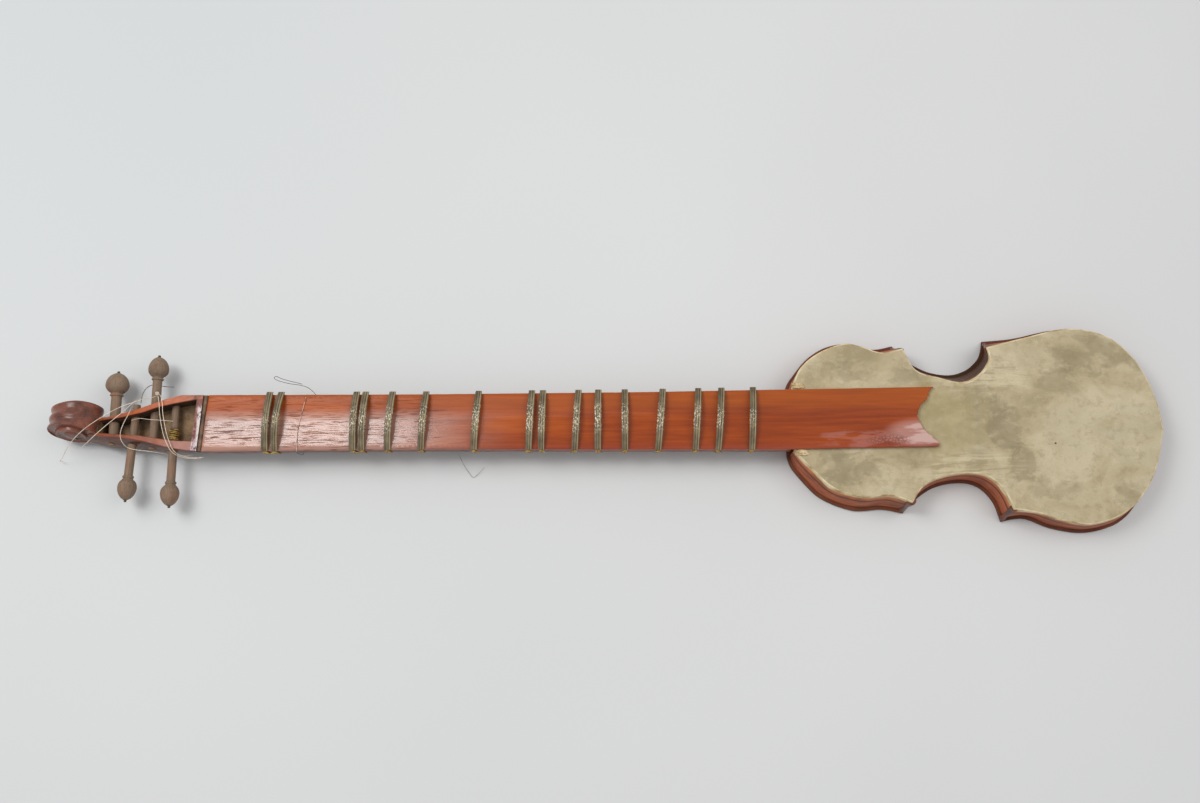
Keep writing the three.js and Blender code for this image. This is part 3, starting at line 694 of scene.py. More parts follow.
# ---- cords: what is left of the strings, and the wire tied round the neck ----
CORDS = {
    "string_tail_a": (0.3, STRING, [
        (-797, 29, 30), (-800.5, 26, 36), (-805.5, 24, 40), (-812.5, 20, 44.5), (-821, 15.5, 48.5),
        (-829, 10, 52), (-836, 4.5, 54.5), (-843, -1, 56), (-850.5, -6.5, 55.5), (-859, -12, 51.5),
        (-868, -17.5, 44), (-878, -23, 32), (-888, -27.5, 17), (-894, -29, 8), (-896.5, -29, 4.6),
        (-893.5, -29.5, 3.8)]),
    "string_tail_b": (0.3, STRING, [
        (-814, 25, 33), (-816.5, 19.5, 39), (-821, 12.5, 43), (-827, 4.5, 47.5), (-835, -4, 50),
        (-844, -12, 49), (-852, -18, 45.5), (-858.5, -22, 41.5)]),
    "string_tail_c": (0.3, STRING, [
        (-816.5, 15.5, 39), (-818, 8.5, 41), (-821.5, 0, 41.5), (-823.5, -8, 41.5), (-823.5, -14, 40),
        (-821.5, -19, 36.5), (-819, -21.5, 32.5), (-813, -23, 30), (-803, -24, 28), (-793, -25, 24),
        (-785, -26, 19), (-779, -26.5, 17), (-771, -27, 18.5), (-762, -27.5, 22)]),
    "string_tail_d": (0.3, STRING, [
        (-796, 31.5, 30), (-792.5, 27, 36.5), (-789.5, 19.5, 40.5), (-788, 11, 41.5), (-786, 1.5, 42),
        (-783, -9.5, 42), (-779.5, -18, 42), (-776, -25, 40), (-772, -29, 36.5), (-767, -31, 33),
        (-760, -32, 31), (-753.5, -32, 30), (-748, -30.5, 29)]),
    "string_tail_e": (0.35, WIRE, [
        (-784, 40, 21), (-791, 41, 18), (-796.5, 42, 16), (-802.5, 43.5, 15.5), (-807.5, 43, 17),
        (-810, 40.5, 20), (-811.5, 36.5, 23), (-812.5, 31.5, 25), (-812.5, 26, 26.5), (-812.5, 23, 27)]),
    "neck_wire": (0.25, NECK_WIRE, [
        (-655.5, 38.5, 35.5), (-661, 40, 36), (-667.5, 41.5, 36.2), (-675.5, 44, 36), (-680.5, 46.3, 35.7),
        (-682.8, 45, 35.5), (-680, 42.8, 35.2), (-673, 40.5, 35), (-665.5, 39, 34.3), (-658, 38, 33.5),
        (-651.5, 36.2, 32), (-647.5, 33.5, 29), (-645.5, 31, 24), (-646, 28.4, 18), (-648, 20, 12.6),
        (-650.5, 10, 10.2), (-652, 0, 9.6), (-653.5, -10, 10.2), (-655, -19.5, 12.9), (-656, -27.2, 19.5),
        (-656.5, -28.4, 28), (-656.8, -28.4, 35), (-657, -27.4, 38.7), (-656.8, -20, 39),
        (-656.6, -6, 38.9), (-653.5, 10, 38.9), (-650.5, 25, 38.9)]),
}


# Strands that are too fine for the part: radius, material, route.
FINE_STRANDS = {
    "string_d_return": (0.3, STRING, [
        (-796, 31.8, 29.6), (-790.5, 28, 35.5), (-786.8, 20.5, 40), (-785.2, 11, 41), (-783, 1.5, 41.4),
        (-780, -9.5, 41.4), (-776.6, -18, 41.4), (-773.5, -25, 39.4), (-769.5, -28.8, 35.8),
        (-764, -30.4, 32), (-757, -31, 29.6), (-750, -30.8, 28.6)]),
    "string_f": (0.25, STRING, [
        (-818.5, 5.5, 31), (-810, 7, 32), (-800.5, 5.6, 33.2), (-790.5, 5, 32.8), (-783.2, 4.6, 31.4),
        (-779, 4.4, 30)]),
    "loose_hair": (0.16, WIRE, [
        (-507, -27.2, 14), (-506, -29.5, 8), (-503, -36, 3), (-497, -45, 0.8), (-493.5, -48, 0.6),
        (-488, -44, 1.4), (-483, -38.5, 2.4)]),
}


def cord_curve(name, route, radius, material):
    """A round cord as a curve of one open spline. Returns it and its length in metres."""
    points = spline(route, 5) * MM
    data = bpy.data.curves.new(name, "CURVE")
    data.dimensions = "3D"
    data.bevel_depth = radius * MM
    data.bevel_resolution = 2
    data.use_fill_caps = True
    line = data.splines.new("POLY")
    line.points.add(len(points) - 1)
    for point, target in zip(points, line.points):
        target.co = (*point, 1)
    data.materials.append(material)
    return add_object(name, data), float(np.linalg.norm(np.diff(points, axis=0), axis=1).sum())


def make_cord(piece_name, radius, material, route, *nodes):
    """One strand, which stays with the instrument."""
    piece, length = cord_curve(piece_name, route, radius, material)
    place(piece, "instrument", "string" if material is STRING else "wire", *nodes)


def make_cords():
    for name, strand in CORDS.items():
        make_cord(f"{name}_cord", *strand, name)
    for name, strand in FINE_STRANDS.items():
        make_cord(name, *strand)


KNOT = (-796.2, 31.7, 30.3)


def make_string_knot():
    """The white knot where the doubled string leaves the second peg."""
    path = []
    steps = 60
    for k in range(steps):
        a = 2 * math.pi * k / steps
        ring = 1.1 + 0.45 * math.cos(3 * a)
        path.append((KNOT[0] + ring * math.cos(2 * a), KNOT[1] + ring * math.sin(2 * a),
                     KNOT[2] + 0.7 * math.sin(3 * a)))
    piece = join_rings("string_knot", [tube_rings(path, 0.42, 8)], [STRING])
    place(piece, "instrument", "string")


make_cords()
make_string_knot()


# ---- body ----
PER_STRETCH = 44


def outline(edge):
    """The whole outline, with the same number of points on each of its stretches."""
    stretches = [even(spline(s, 12), PER_STRETCH) for s in edge]
    return np.vstack([s[:-1] for s in stretches] + [stretches[-1][-1:]])


BACK_LOOP = outline(BACK_EDGE)
SKIN_LOOP = outline(SKIN_EDGE)


def make_back():
    """The flat back, with a worn round-over along its edge."""
    wear = np.array([0.35 * wobble(x, y, 0, 14) for x, y in BACK_LOOP])
    loops = [
        (inset(BACK_LOOP, 0.9 + wear), BACK_THICKNESS), (inset(BACK_LOOP, 0.3 + wear), BACK_THICKNESS - 0.3),
        (inset(BACK_LOOP, 0.05 + wear), BACK_THICKNESS - 0.9), (inset(BACK_LOOP, 0.05 + wear), 0.9),
        (inset(BACK_LOOP, 0.4 + wear), 0.25), (inset(BACK_LOOP, 1.0 + wear), 0.0),
    ]
    piece = slab("back_plate_shell", loops, [RIB_WOOD], (0, 0, 0), (9, 9, 5))
    place(piece, "instrument", "rib_wood", "back_plate")


SKIN_INNER = inset(SKIN_LOOP, SKIN_LAP)
BACK_INNER = inset(BACK_LOOP, BACK_OVERHANG)


def rib_surface(index, down):
    """Outer rib surface at outline point `index`, `down` from 0 at the top to 1 at the bottom."""
    return SKIN_INNER[index] * (1 - down) + BACK_INNER[index] * down


def make_rib(name, start, stop, skip):
    """One bent strip between outline stretches, with its faces gently uneven."""
    levels = 8
    inner_low = inset(BACK_LOOP, BACK_OVERHANG + RIB_THICKNESS)
    inner_high = inset(SKIN_LOOP, SKIN_LAP + RIB_THICKNESS)
    rings = []
    for i in range(start * PER_STRETCH + skip, min(stop * PER_STRETCH - skip, len(BACK_LOOP) - 1) + 1):
        ring = []
        for k in range(levels + 1):
            down = 1 - k / levels
            x, y = rib_surface(i, down)
            z = RIB_BOTTOM + (RIB_TOP - RIB_BOTTOM) * k / levels
            swell = 0.35 * wobble(x, y, z, 24, 3) + 0.5 * math.sin(math.pi * down)
            inward = (SKIN_INNER[i] - SKIN_LOOP[i]) / SKIN_LAP
            ring.append((x - inward[0] * swell, y - inward[1] * swell, z))
        ring.append((*inner_high[i], RIB_TOP))
        ring.append((*inner_low[i], RIB_BOTTOM))
        rings.append(ring)
    piece = loft(f"{name}_strip", rings, [RIB_WOOD])
    place(piece, "instrument", "rib_wood", name)


# Ribs: first and last outline corner, outline points left out at each end.
RIBS = {
    "rib_upper_near": (0, 1, 0), "rib_waist_near": (1, 2, 1), "rib_lower": (2, 4, 0),
    "rib_waist_far": (4, 5, 1), "rib_upper_far": (5, 6, 0),
}


def make_ribs():
    for name, numbers in RIBS.items():
        make_rib(name, *numbers)


def make_corner(name, index, radius):
    """A rounded dark tip that closes the corner between two ribs."""
    rings = []
    levels = 14
    for k in range(levels + 1):
        down = 1 - k / levels
        x, y = rib_surface(index, down)
        inward = (SKIN_INNER[index] - SKIN_LOOP[index]) / SKIN_LAP
        swell = radius * (0.8 + 0.2 * math.cos(5 * down) + 0.1 * wobble(x, y, 30 * down, 9, index))
        z = RIB_BOTTOM + (RIB_TOP - 1.2 - RIB_BOTTOM) * k / levels
        ring = []
        for a in np.linspace(0, 2 * math.pi, 20, endpoint=False):
            ring.append((x + inward[0] * radius * 0.35 + swell * math.cos(a),
                         y + inward[1] * radius * 0.35 + swell * math.sin(a), z))
        rings.append(ring)
    piece = loft(name, rings, [HEAD_WOOD])
    place(piece, "instrument", "rib_wood")


def make_corners():
    make_corner("corner_tip_upper_near", PER_STRETCH, 4.6)
    make_corner("corner_tip_lower_near", 2 * PER_STRETCH, 3.8)
    make_corner("corner_tip_lower_far", 4 * PER_STRETCH, 2.6)
    make_corner("corner_tip_upper_far", 5 * PER_STRETCH, 2.4)


def ridge(x, y, x0, y0, angle, width, length):
    """One wrinkle that starts at (x0, y0) and dies out along its direction."""
    c, s = math.cos(angle), math.sin(angle)
    along = (x - x0) * c + (y - y0) * s
    across = -(x - x0) * s + (y - y0) * c
    across += 1.2 * math.sin(along / 9)
    fade = math.exp(-((along / length) ** 2)) * smoothstep(along, -4, 3)
    spread = width * (1 + max(along, 0) / length)
    return fade * math.exp(-((across / spread) ** 2))


# Wrinkles: start x, y, direction in degrees, width, length, height.
WRINKLES = [
    (-20, 34, -90, 2.2, 22, 1.6), (-28, 36, -112, 1.8, 20, 1.4), (-12, 36, -66, 1.8, 22, 1.4),
    (-40, 38, -128, 2.0, 26, 1.4), (-4, 41, -42, 2.0, 28, 1.4), (5, 58, -18, 1.8, 26, 1.4),
    (6, 68, -30, 1.6, 30, 1.1), (-74, 66, -60, 1.8, 24, 0.9), (-22, -51, 88, 2.2, 20, 1.4),
    (-8, -54, 66, 2.0, 22, 1.1), (-38, -53, 112, 2.0, 24, 1.1), (-58, -60, 96, 1.8, 26, 1.1),
    (10, -67, 40, 2.0, 26, 1.1), (18, -84, 52, 1.8, 30, 1.1), (-74, -76, 130, 1.8, 26, 0.9),
    (-170, -42, 20, 2.2, 26, 0.9), (-172, 46, -30, 2.2, 26, 0.9),
]


def skin_height(x, y):
    """The uneven belly with its wrinkles, pressed flat where the board covers it."""
    z = SKIN_TOP - 0.5 + 0.4 * wobble(x, y, 0, 46, 7) + 0.2 * wobble(x, y, 0, 15, 2)
    for x0, y0, angle, width, length, height in WRINKLES:
        z += height * ridge(x, y, x0, y0, math.radians(angle), width, length)
    under_board = (1 - smoothstep(x, -58, -40)) * (1 - smoothstep(abs(y - 1), 30, 36))
    return z * (1 - under_board) + (SKIN_TOP - 0.3) * under_board


def make_skin():
    """The belly, with its edge glued down over the ribs."""
    n = len(SKIN_LOOP)
    neck_end = np.array([abs(y) < 31 and x < -180 for x, y in SKIN_LOOP])
    depth = [5.0 + 2.4 * wobble(x, y, 0, 22, 5) + 1.2 * wobble(x, y, 0, 5, 8) for x, y in SKIN_LOOP]
    depth = np.where(neck_end, 1.4, np.maximum(depth, 2.2))

    def lapped(fall, stand_off):
        """Outline of the skin that stands off the ribs, some way down from the top."""
        z = SKIN_TOP - fall
        down = np.clip((RIB_TOP - z) / (RIB_TOP - RIB_BOTTOM), 0, 1)[:, None]
        surface = SKIN_INNER * (1 - down) + BACK_INNER * down
        inward = (SKIN_INNER - SKIN_LOOP) / SKIN_LAP
        return surface - inward * np.reshape(stand_off, (-1, 1)), z

    ripple = np.array([0.16 * wobble(x, y, 0, 6, 4) for x, y in SKIN_LOOP])
    top = inset(SKIN_LOOP, 1.3)
    top_heights = np.array([skin_height(x, y) for x, y in top])
    shoulder = (inset(SKIN_LOOP, 0.45), top_heights - 0.3)
    round_over = (inset(SKIN_LOOP, 0.1 - ripple), np.full(n, SKIN_TOP - 1.1))
    middle = lapped(depth * 0.55, 0.95 + ripple)
    edge = lapped(depth, 0.85 + ripple)
    under = lapped(depth, np.full(n, 0.2))
    back_up = lapped(np.full(n, 1.5), np.full(n, 0.05))
    low = inset(SKIN_LOOP, 1.6)
    loops = [(top, top_heights), shoulder, round_over, middle, edge, under, back_up,
             (low, SKIN_TOP - 1.3)]
    piece = slab("skin_head_membrane", loops, [SKIN, SKIN_EDGE_MATERIAL], (0, 1, 0), (2.3, 2.1, 1.2),
                 top_z=skin_height, sharp=70)
    place(piece, "instrument", "skin", "skin_head")


def make_crumple(name, x0, y0, seed):
    """Crumpled folds of skin where it was cut round the neck."""
    groups = []
    steps = 24
    for fold in range(4):
        path = []
        for t in np.arange(steps + 1) / steps:
            x = x0 + (t - 0.5) * 13 + 1.1 * wobble(t * 9, fold, 0, 1.6, seed)
            y = y0 + (fold - 1.5) * 1.25 + 1.0 * wobble(t * 9, fold, 5, 1.8, seed)
            z = SKIN_TOP + 0.7 + 1.3 * wobble(t * 9, fold, 9, 1.7, seed) - 2.2 * (2 * t - 1) ** 4
            path.append((x, y, z))
        radii = [0.35 + 0.75 * math.sin(math.pi * min(max(k / steps, 0.05), 0.95)) for k in range(steps + 1)]
        groups.append(tube_rings(path, radii, 8))
    piece = join_rings(name, groups, [SKIN_EDGE_MATERIAL])
    place(piece, "instrument", "skin")


def make_blocks():
    """The blocks inside the body stay as they are, in plain wood."""
    for name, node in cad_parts.items():
        if "block" in name:
            for material_slot in node.material_slots:
                material_slot.material = PLAIN_WOOD


make_back()
make_ribs()
make_corners()
make_skin()
make_crumple("skin_crumple_near", -178, -31.5, 3)
make_crumple("skin_crumple_far", -179, 33.5, 8)
make_blocks()


# ---- neck ----
def neck_section(x, extra=0.0, arc_steps=24):
    """Half-round section of the neck at x, `extra` outside it, from the far top edge to the near one."""
    far = table(FAR_EDGE, x) - 0.2 + extra
    near = table(NEAR_EDGE, x) + 0.2 - extra
    middle, half = (far + near) / 2, (far - near) / 2
    shoulder = NECK_TOP - 9
    depth = shoulder - table(NECK_BOTTOM, x) + extra
    section = [(far, NECK_TOP)]
    for k in range(arc_steps + 1):
        angle = math.pi * k / arc_steps
        section.append((middle + half * math.cos(angle), shoulder - depth * max(math.sin(angle), 0) ** 0.8))
    return section + [(near, NECK_TOP)]


def make_neck():
    xs = [-750, -740, *range(-720, -220, 20), -214, -209, -204, -199, -195, -191, BODY_START_X]
    rings = []
    for i, x in enumerate(xs):
        ring = []
        for y, z in neck_section(x):
            dent = 0.12 * wobble(x, y, z, 16, 9)
            ring.append((x - HEAD_SLANT * y if i == 0 else x, y + dent, z))
        rings.append(ring)
    piece = loft("neck_shaft_body", rings, [NECK_WOOD])
    place(piece, "instrument", "head_wood", "neck_shaft")


# The torn tail edge of the fingerboard, from the near corner to the far one.
TAIL_EDGE = [
    (-49.3, -27.3), (-48.3, -24.4), (-53, -19), (-59.8, -12.6), (-64, -7), (-67, 2.5),
    (-64.6, 11), (-58.6, 17.6), (-53.5, 26.5), (-50, 30.8),
]


def board_outline():
    """Straight sides, a slanted end at the nut and a ragged torn tail."""
    start = NUT_X + 2.3
    near = [(start - HEAD_SLANT * NEAR_EDGE[0][1], NEAR_EDGE[0][1])] + NEAR_EDGE[1:]
    far = FAR_EDGE[:0:-1] + [(start - HEAD_SLANT * FAR_EDGE[0][1], FAR_EDGE[0][1])]
    tail = even(spline(TAIL_EDGE, 10), 60)
    for point in tail[1:-1]:
        point[0] += 1.3 * wobble(*point, 0, 5, 3) + 1.0 * wobble(*point, 0, 2.2, 1)
    near_points = [even([a, b], int(abs(b[0] - a[0]) / 5))[:-1] for a, b in zip(near, near[1:])]
    far_points = [even([a, b], int(abs(b[0] - a[0]) / 5))[:-1] for a, b in zip(far, far[1:])]
    end = even([far[-1], near[0]], 12)[:-1]
    return np.vstack([*near_points, [near[-1]], tail[:-1], *far_points, end])


def board_height(x, y):
    """The board is flat for its near two thirds and falls away towards the far edge."""
    middle = (table(NEAR_EDGE, x) + table(FAR_EDGE, x)) / 2
    across = y - middle
    fall = 0.05 * max(across - 3, 0) * smoothstep(across, 3, 20) + 0.045 * max(-18 - across, 0)
    return BOARD_TOP + 0.1 - fall + 0.06 * wobble(x, y, 0, 70, 4) + 0.02 * wobble(x, y, 0, 14, 6)


def make_fingerboard():
    """The varnished board, its top edges rounded by wear."""
    loop = board_outline()
    wear = np.array([0.3 * max(wobble(x, y, 0, 9, 3), -0.1) for x, y in loop])

    def heights(points, fall):
        return np.array([board_height(x, y) - fall for x, y in points])

    top = inset(loop, 1.3 + wear)
    loops = [
        (top, heights(top, 0.0)), (inset(loop, 0.7 + wear), heights(loop, 0.12)),
        (inset(loop, 0.22 + wear), heights(loop, 0.45)), (inset(loop, 0.03 + wear * 0.6), heights(loop, 1.0)),
        (inset(loop, 0.03 + wear * 0.3), BOARD_BOTTOM + 0.5),
        (inset(loop, 0.5), BOARD_BOTTOM),
    ]
    piece = slab("fingerboard_slab", loops, [VARNISH, NECK_WOOD], (0, 0, 1), (5, 2.6, 1.6),
                 top_z=board_height)
    place(piece, "instrument", "varnished_board", "fingerboard")


def make_nut():
    """A thin dark strip, worn round on top, set a little off square."""
    rings = []
    for y in np.linspace(-25.7, 27.9, 30):
        x = NUT_X - HEAD_SLANT * y
        top = BOARD_TOP - 0.35 + 0.2 * wobble(x, y, 0, 6, 2)
        half = 2.0
        section = [(-half, 34.0), (half, 34.0), (half, top - 0.9), (half * 0.6, top - 0.2), (0, top),
                   (-half * 0.6, top - 0.25), (-half, top - 1.1)]
        rings.append([(x + dx, y, z) for dx, z in section])
    piece = loft("nut_strip", rings, [DARK_WOOD], sharp=50)
    place(piece, "instrument", "nut_wood", "nut")


make_neck()
make_fingerboard()
make_nut()


# ---- pegbox and scroll ----
# x, y of the far rim, near rim, far back and near back, z of the back, z of the rim.
PEGBOX = [
    (-750.7, 28.3, -26.3, 23, -23, 12, 37.6), (-770, 28.4, -24.2, 21.3, -23.6, 11, 37.6),
    (-785, 24.5, -21, 19.6, -23.2, 10, 37.8), (-800, 19, -17.3, 17.7, -21.5, 8.5, 37.5),
    (-815, 14, -14.5, 15.7, -19.6, 6.8, 36.5), (-828, 10.6, -13.1, 14, -18.2, 5, 35),
    (-842, 6.8, -13.2, 12.2, -16.6, 4, 33.6), (-849, 6.2, -12.8, 11.6, -15.4, 3.8, 31),
    (-862, 5, -11.6, 10.3, -13, 3.6, 26), (-872, 4, -9.6, 9.4, -10.6, 4.4, 24),
]
# Cavity: x, near y, far y, floor.
CAVITY = [
    (-757, -16.5, 23.8, 18), (-777, -15.6, 20, 17), (-792, -13, 16.5, 15.5),
    (-807, -10.8, 11.5, 13.5), (-825, -10.1, 7.2, 11), (-849.4, -9.8, 2.8, 9),
]
SCROLL_X, SCROLL_Z, SCROLL_RADIUS = -873.2, 27.5, 23.6


def lean(points):
    """The head leans over towards the far side as it nears the scroll."""
    leaned = []
    for x, y, z in points:
        turn = math.radians(13) * smoothstep(-x, 790, 870)
        shift = 3.2 * smoothstep(-x, 830, 870)
        c, s = math.cos(turn), math.sin(turn)
        leaned.append((x, y * c + (z - 24) * s + shift, (z - 24) * c - y * s + 24))
    return leaned


def columns(rows, x):
    """The other columns of a table, read smoothly at x. The rows run towards -X."""
    xs = [-row[0] for row in rows]
    return [float(np.interp(-x, xs, [row[k] for row in rows])) for k in range(1, len(rows[0]))]


def wall(rim, back, bottom, top, sign):
    """Outer side of one wall from the rim down to the middle of the back."""
    return [
        (rim - 0.5 * sign, top), (rim, top - 0.7),
        (rim * 0.6 + back * 0.4 + 0.7 * sign, top * 0.7 + bottom * 0.3),
        (rim * 0.25 + back * 0.75 + 0.8 * sign, top * 0.42 + bottom * 0.58), (back, bottom + 6),
        (back * 0.93, bottom + 3.4), (back * 0.75, bottom + 1.5), (back * 0.5, bottom + 0.5),
        (back * 0.2, bottom),
    ]


def pegbox_section(x, hollow):
    """Section of the pegbox at x: a trough, or solid with its top filled in."""
    far_rim, near_rim, far_back, near_back, bottom, top = columns(PEGBOX, x)
    near, far, floor = columns(CAVITY, max(min(x, CAVITY[0][0]), CAVITY[-1][0]))
    far, near = min(far, far_rim - 2), max(near, near_rim + 2)
    wear = 0.25 * wobble(x, 0, 0, 8, 4)
    low = floor if hollow else top
    round_in = 1.4 if hollow else 0.1
    ring = wall(far_rim, far_back, bottom, top, 1)
    ring += wall(near_rim, near_back, bottom, top, -1)[::-1]
    ring += [(near - 0.5, top), (near, top - 0.6 + wear if hollow else top)]
    ring += [(near, low + 1.2 if hollow else top), (near + round_in, low), (far - round_in, low)]
    ring += [(far, low + 1.2 if hollow else top), (far, top - 0.6 - wear if hollow else top)]
    ring += [(far + 0.5, top)]
    return ring


def make_pegbox():
    """The open pegbox. Its end slants like the nut, and the next few sections straighten out."""
    xs = [(-750.7, False), (-753, False), (-756.4, False), (-757, True)]
    xs += [(x, True) for x in np.arange(-759, -847, -2.0)]
    xs += [(-847, True), (-849.4, True)]
    xs += [(x, False) for x in (-850, -853, -858, -864, -868, -872)]
    rings = []
    for i, (x, hollow) in enumerate(xs):
        ring = [(x - HEAD_SLANT * y if i < 4 else x - HEAD_SLANT * y * max(0, 1 - (i - 3) / 6),
                 y + 0.1 * wobble(x, y, z, 12, 5), z) for y, z in pegbox_section(x, hollow)]
        rings.append(lean(ring))
    shell, rim, inner, floor, paint = range(5)
    sides = [rim] + [shell] * 15 + [rim] * 3 + [inner, floor, floor, floor, inner] + [rim] * 2
    piece = loft("pegbox_shell", rings, [HEAD_WOOD, RIM_WOOD, INNER_WOOD, FLOOR_WOOD, WORN_PAINT], sides, 35)
    paint_end_x, paint_half_width = -0.7572, 0.026
    for polygon in piece.data.polygons:
        x, y, _ = polygon.center
        if x > paint_end_x and polygon.normal.z > 0.7 and abs(y) < paint_half_width:
            polygon.material_index = paint
    place(piece, "instrument", "head_wood", "pegbox_scroll")


def volute_radius(turn):
    """The band stays round for three quarters of a turn, then winds inwards."""
    return SCROLL_RADIUS * 0.5 ** max(turn - 0.75, 0)


def volute_half_width(turn):
    return min(10.2 + 2.4 * turn, 13.8)


def volute_side(turn):
    """Half of a radial section, from the eye out to the outer band: (radius, distance from the middle)."""
    r0, r1, r2 = (volute_radius(turn + k) for k in range(3))
    w0, w1, w2 = (volute_half_width(turn + k) for k in range(3))
    return [
        (0.0, w2 + 0.6), (r2 * 0.5, w2 + 0.5), (r2 * 0.85, w2 + 0.1), (r2, w2 - 0.8),
        (r2 + 0.3, w1 - 1.0), (r2 * 0.6 + r1 * 0.4, w1 - 1.3), (r1 - 2.2, w1 - 0.9), (r1 - 1.0, w1 - 0.15),
        (r1 - 0.3, w1 - 0.3), (r1, w1 - 1.1),
        (r1 + 0.4, w0 - 1.0), (r1 * 0.6 + r0 * 0.4, w0 - 1.5), (r1 * 0.2 + r0 * 0.8, w0 - 1.2),
        (r0 - 1.1, w0 - 0.2), (r0 - 0.4, w0 - 0.25), (r0, w0 - 1.0),
    ]


def volute_flare(turn):
    """The far side of the outer band swings out where it comes round to meet the pegbox."""
    return 5 * smoothstep(turn, 0.4, 0.72) * smoothstep(turn, 0.97, 0.8)


def make_scroll():
    """A section swept round one turn of a spiral, with two shallow grooves round its outer band."""
    rings = []
    steps = 96
    for k in range(steps + 1):
        turn = k / steps
        angle = -2 * math.pi * turn - math.pi / 2
        side = volute_side(turn)
        r0, half = side[-1]
        band = []
        for q in np.linspace(-1, 1, 15)[1:-1]:
            groove = 1.5 * math.sin(math.pi * abs(q)) ** 2
            band.append((r0 - groove, q * half))
        section = [(r, -w) for r, w in side] + band + [(r, w) for r, w in reversed(side)]
        ring = []
        for r, y in section:
            y += volute_flare(turn) * (r / r0) ** 2 * max(y, 0) / half
            x = SCROLL_X + r * math.cos(angle)
            z = SCROLL_Z + r * math.sin(angle)
            ring.append((x + 0.15 * wobble(x, y, z, 7, 1), y + 0.15 * wobble(x, y, z, 7, 2), z))
        rings.append(lean(ring))
    piece = loft("scroll_volute", rings, [SCROLL_WOOD], sharp=38)
    place(piece, "instrument", "head_wood")


make_pegbox()
make_scroll()


# ---- pegs ----
def make_peg(name, x, z, tip, end, head, shaft, slant):
    """A turned peg: button, onion head, collar and tapering shaft."""
    length = abs(tip - end)
    profile = [
        (0.0, 0.05), (0.8, 0.15), (1.25, 0.6), (1.3, 1.2), (1.2, 1.8), (head * 0.3, 2.6), (head * 0.52, 4.0),
        (head * 0.7, 5.8), (head * 0.84, 8.0), (head * 0.94, 10.4), (head * 0.99, 12.8), (head, 14.8),
        (head * 0.96, 17), (head * 0.86, 19), (head * 0.72, 20.6), (head * 0.6, 21.5), (shaft + 0.7, 22.2),
        (shaft + 0.5, 22.8), (shaft + 0.9, 23.2), (shaft + 1.25, 23.7), (shaft + 1.25, 24.6),
        (shaft + 0.8, 25.1), (shaft + 0.1, 25.6), (shaft + 0.05, 27), (shaft, length * 0.45),
        (shaft * 0.97, length * 0.6), (shaft * 0.9, length * 0.85), (shaft * 0.86, length - 0.5),
        (shaft * 0.7, length),
    ]
    sign = 1 if tip > 0 else -1
    turn = math.radians(slant)
    sides = 40
    rings = []
    for radius, along in profile:
        ring = []
        for k in range(sides):
            angle = 2 * math.pi * k / sides
            flat = 1 - 0.035 * math.cos(3 * angle + x) * (1 if 3 < along < 21 else 0)
            dx, dz = radius * flat * math.cos(angle), radius * flat * math.sin(angle)
            dx += 0.1 * wobble(dx + x, along, dz, 5, 3)
            y = tip - sign * along
            ring.append((x + dx * math.cos(turn) - y * math.sin(turn),
                         dx * math.sin(turn) + y * math.cos(turn), z + dz))
        rings.append(ring)
    piece = loft(f"{name}_turned", rings, [PEG_WOOD], sharp=35)
    place(piece, f"{name}_body", "peg_wood", name)


def make_winding():
    """Turns of brass-coloured string left on the shaft of the peg nearest the nut."""
    x, z, *_ = PEGS["peg_d"]
    steps = int(WINDING_TURNS * 20)
    path = []
    for k in range(steps + 1):
        angle = 2 * math.pi * WINDING_TURNS * k / steps
        radius = 4.25 + 0.1 * math.sin(k)
        y = WINDING_START + WINDING_PITCH * WINDING_TURNS * k / steps + 0.3 * math.sin(angle * 0.7)
        path.append((x + radius * math.cos(angle), y, z + radius * math.sin(angle)))
    piece = join_rings("peg_d_winding", [tube_rings(path, 0.5, 8)], [BRASS_WIRE])
    place(piece, "peg_d_body", "wire")


def make_pegs():
    for name, numbers in PEGS.items():
        make_peg(name, *numbers)
    make_winding()


make_pegs()


# ---- frets ----
def fret_body(number):
    """The first two frets slide together, and so do the next two."""
    if number <= 4:
        first = number - 1 + number % 2
        return f"fret_{first:02d}_{first + 1:02d}_body"
    return f"fret_{number:02d}_body"


def add_across(piece, ends):
    """A UV layer whose U runs from -1 to 1 across a strip between two end points."""
    (x0, y0), (x1, y1) = ends
    mesh = piece.data
    layer = mesh.uv_layers.new(name="across")
    for loop in mesh.loops:
        x, y = (c / MM for c in mesh.vertices[loop.vertex_index].co[:2])
        middle = x0 + (x1 - x0) * (y - y0) / (y1 - y0)
        layer.data[loop.index].uv = ((x - middle) / (FRET_WIDTH / 2), (y - y0) / 60)


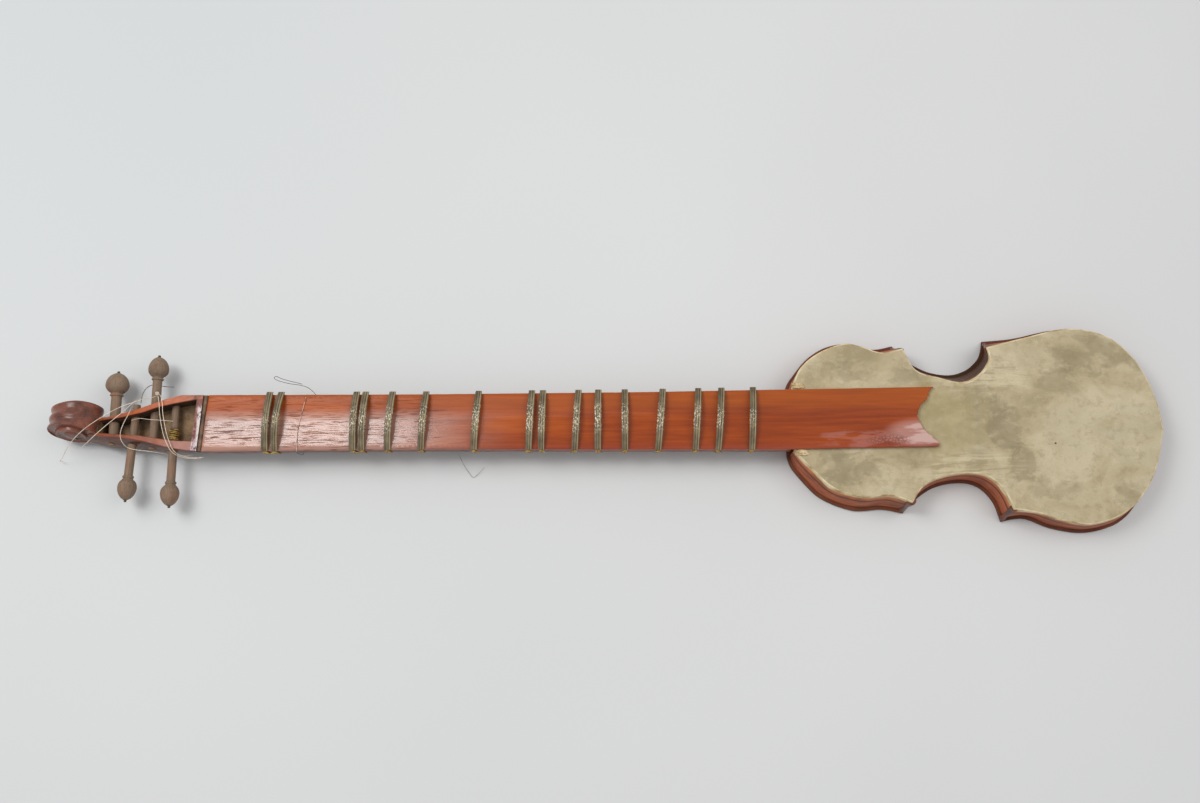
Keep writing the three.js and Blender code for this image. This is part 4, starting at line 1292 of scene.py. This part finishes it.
def make_fret(number, x, skew, arch):
    """A grooved metal strip that arches over the board."""
    near = table(NEAR_EDGE, x) - 0.6
    far = table(FAR_EDGE, x) + 2
    middle, half = (near + far) / 2, (far - near) / 2
    slope = math.tan(math.radians(skew))
    stations = 36
    across = np.linspace(-1, 1, 19)
    rings = []
    for k in range(stations + 1):
        t = 2 * k / stations - 1
        y = middle + half * t
        lift = arch * (1 - t * t) + 0.25 * wobble(x, y, 0, 9, number)
        drift = 0.2 * wobble(x, y, 0, 18, number + 5)
        ring = []
        for u in across:
            ridges = 1.4 + (0.3 + 0.15 * u) * math.cos(3 * math.pi * u)
            ring.append((u * FRET_WIDTH / 2, ridges + 0.35 * (1 - u * u)))
        ring += [(FRET_WIDTH / 2 - 0.1, 0.1), (-FRET_WIDTH / 2 + 0.1, 0.1)]
        taper = 1 - 0.1 * abs(t) ** 6
        rings.append([(x + slope * y + drift + dx * taper, y, BOARD_TOP + 0.3 + max(lift, 0) + dz)
                      for dx, dz in ring])
    piece = loft(f"fret_{number:02d}_strip", rings, [FRET_METAL], sharp=50)
    add_across(piece, [(x + slope * (middle + half * t), middle + half * t) for t in (-1, 1)])
    place(piece, fret_body(number), "fret_metal", f"fret_{number:02d}")


def make_tie(number, x, skew):
    """Gut turns under the neck from one end of the fret to the other, with a knot on the near side."""
    slope = math.tan(math.radians(skew))
    section = neck_section(x, 0.85, 14)
    top = BOARD_TOP + 0.1
    section = [(section[0][0], top)] + section[1:-1] + [(section[-1][0], top)]
    groups = []
    for strand in (-1, 0, 1):
        route = [(x + slope * y + strand * (0.95 + 0.25 * wobble(x, y, z, 12, number)), y, z)
                 for y, z in section]
        groups.append(tube_rings(even(spline(route, 4), 60), 0.46, 8))
    near = table(NEAR_EDGE, x)
    knot = []
    steps = 40
    for k in range(steps + 1):
        angle = 4.4 * math.pi * k / steps
        knot.append((x + slope * near + (1.6 + 0.5 * math.sin(angle * 0.5)) * math.cos(angle),
                     near - 1.5 - 0.5 * math.sin(angle * 0.63 + number), 36.6 + 1.1 * math.sin(angle)))
    groups.append(tube_rings(knot, 0.5, 8))
    tail_length = 2.5 + 2 * abs(wobble(number, 0, 0, 1.3, 2))
    direction = 1 if number % 2 else -1
    tail = [(x + slope * near + direction * s * tail_length, near - 1.6 - 0.8 * s, 36.9 - 0.6 * s)
            for s in np.linspace(0, 1.4, 8)]
    groups.append(tube_rings(tail, 0.42, 8))
    piece = join_rings(f"fret_tie_{number:02d}_gut", groups, [GUT])
    place(piece, fret_body(number), "gut", f"fret_tie_{number:02d}")


def make_frets():
    for number, (x, skew, arch) in enumerate(FRETS, 1):
        make_fret(number, x, skew, arch)
        make_tie(number, x, skew)


make_frets()


# ---- floor, light and world ----
def make_floor():
    mesh = bpy.data.meshes.new("floor")
    half, clearance = 6.0, 0.0004
    corners = [(-half, -half, 0), (half, -half, 0), (half, half, 0), (-half, half, 0)]
    mesh.from_pydata(corners, [], [(0, 1, 2, 3)])
    mesh.materials.append(floor_surface())
    floor = add_object("floor", mesh)
    floor.location = (0, 0, -clearance)


def make_light(name, location, target, size, power, glossy=True):
    data = bpy.data.lights.new(name, "AREA")
    data.shape = "RECTANGLE"
    data.size, data.size_y = size
    data.energy = power
    light = add_object(name, data)
    light.location = location
    light.rotation_euler = (Vector(target) - Vector(location)).to_track_quat("-Z", "Y").to_euler()
    light.visible_glossy = glossy


def make_world():
    world = bpy.data.worlds.new("world")
    world.use_nodes = True
    background = world.node_tree.nodes["Background"]
    background.inputs["Color"].default_value = (0.97, 0.985, 1.0, 1)
    background.inputs["Strength"].default_value = 0.54
    bpy.context.scene.world = world


make_floor()
# The overhead softbox is the one that the varnish mirrors.
make_light("key_softbox", (-1.25, 0.5, 1.35), (-0.4, 0.0, 0.0), (0.7, 0.6), 7.8, glossy=False)
make_light("overhead_softbox", (-1.11, 0.235, 1.55), (-1.11, 0.235, 0.0), (0.62, 0.37), 7.6)
make_light("fill_softbox", (1.0, 0.3, 1.8), (0.1, 0.0, 0.0), (1.5, 1.5), 12.5, glossy=False)
make_world()
bpy.context.scene.view_settings.view_transform = "Standard"
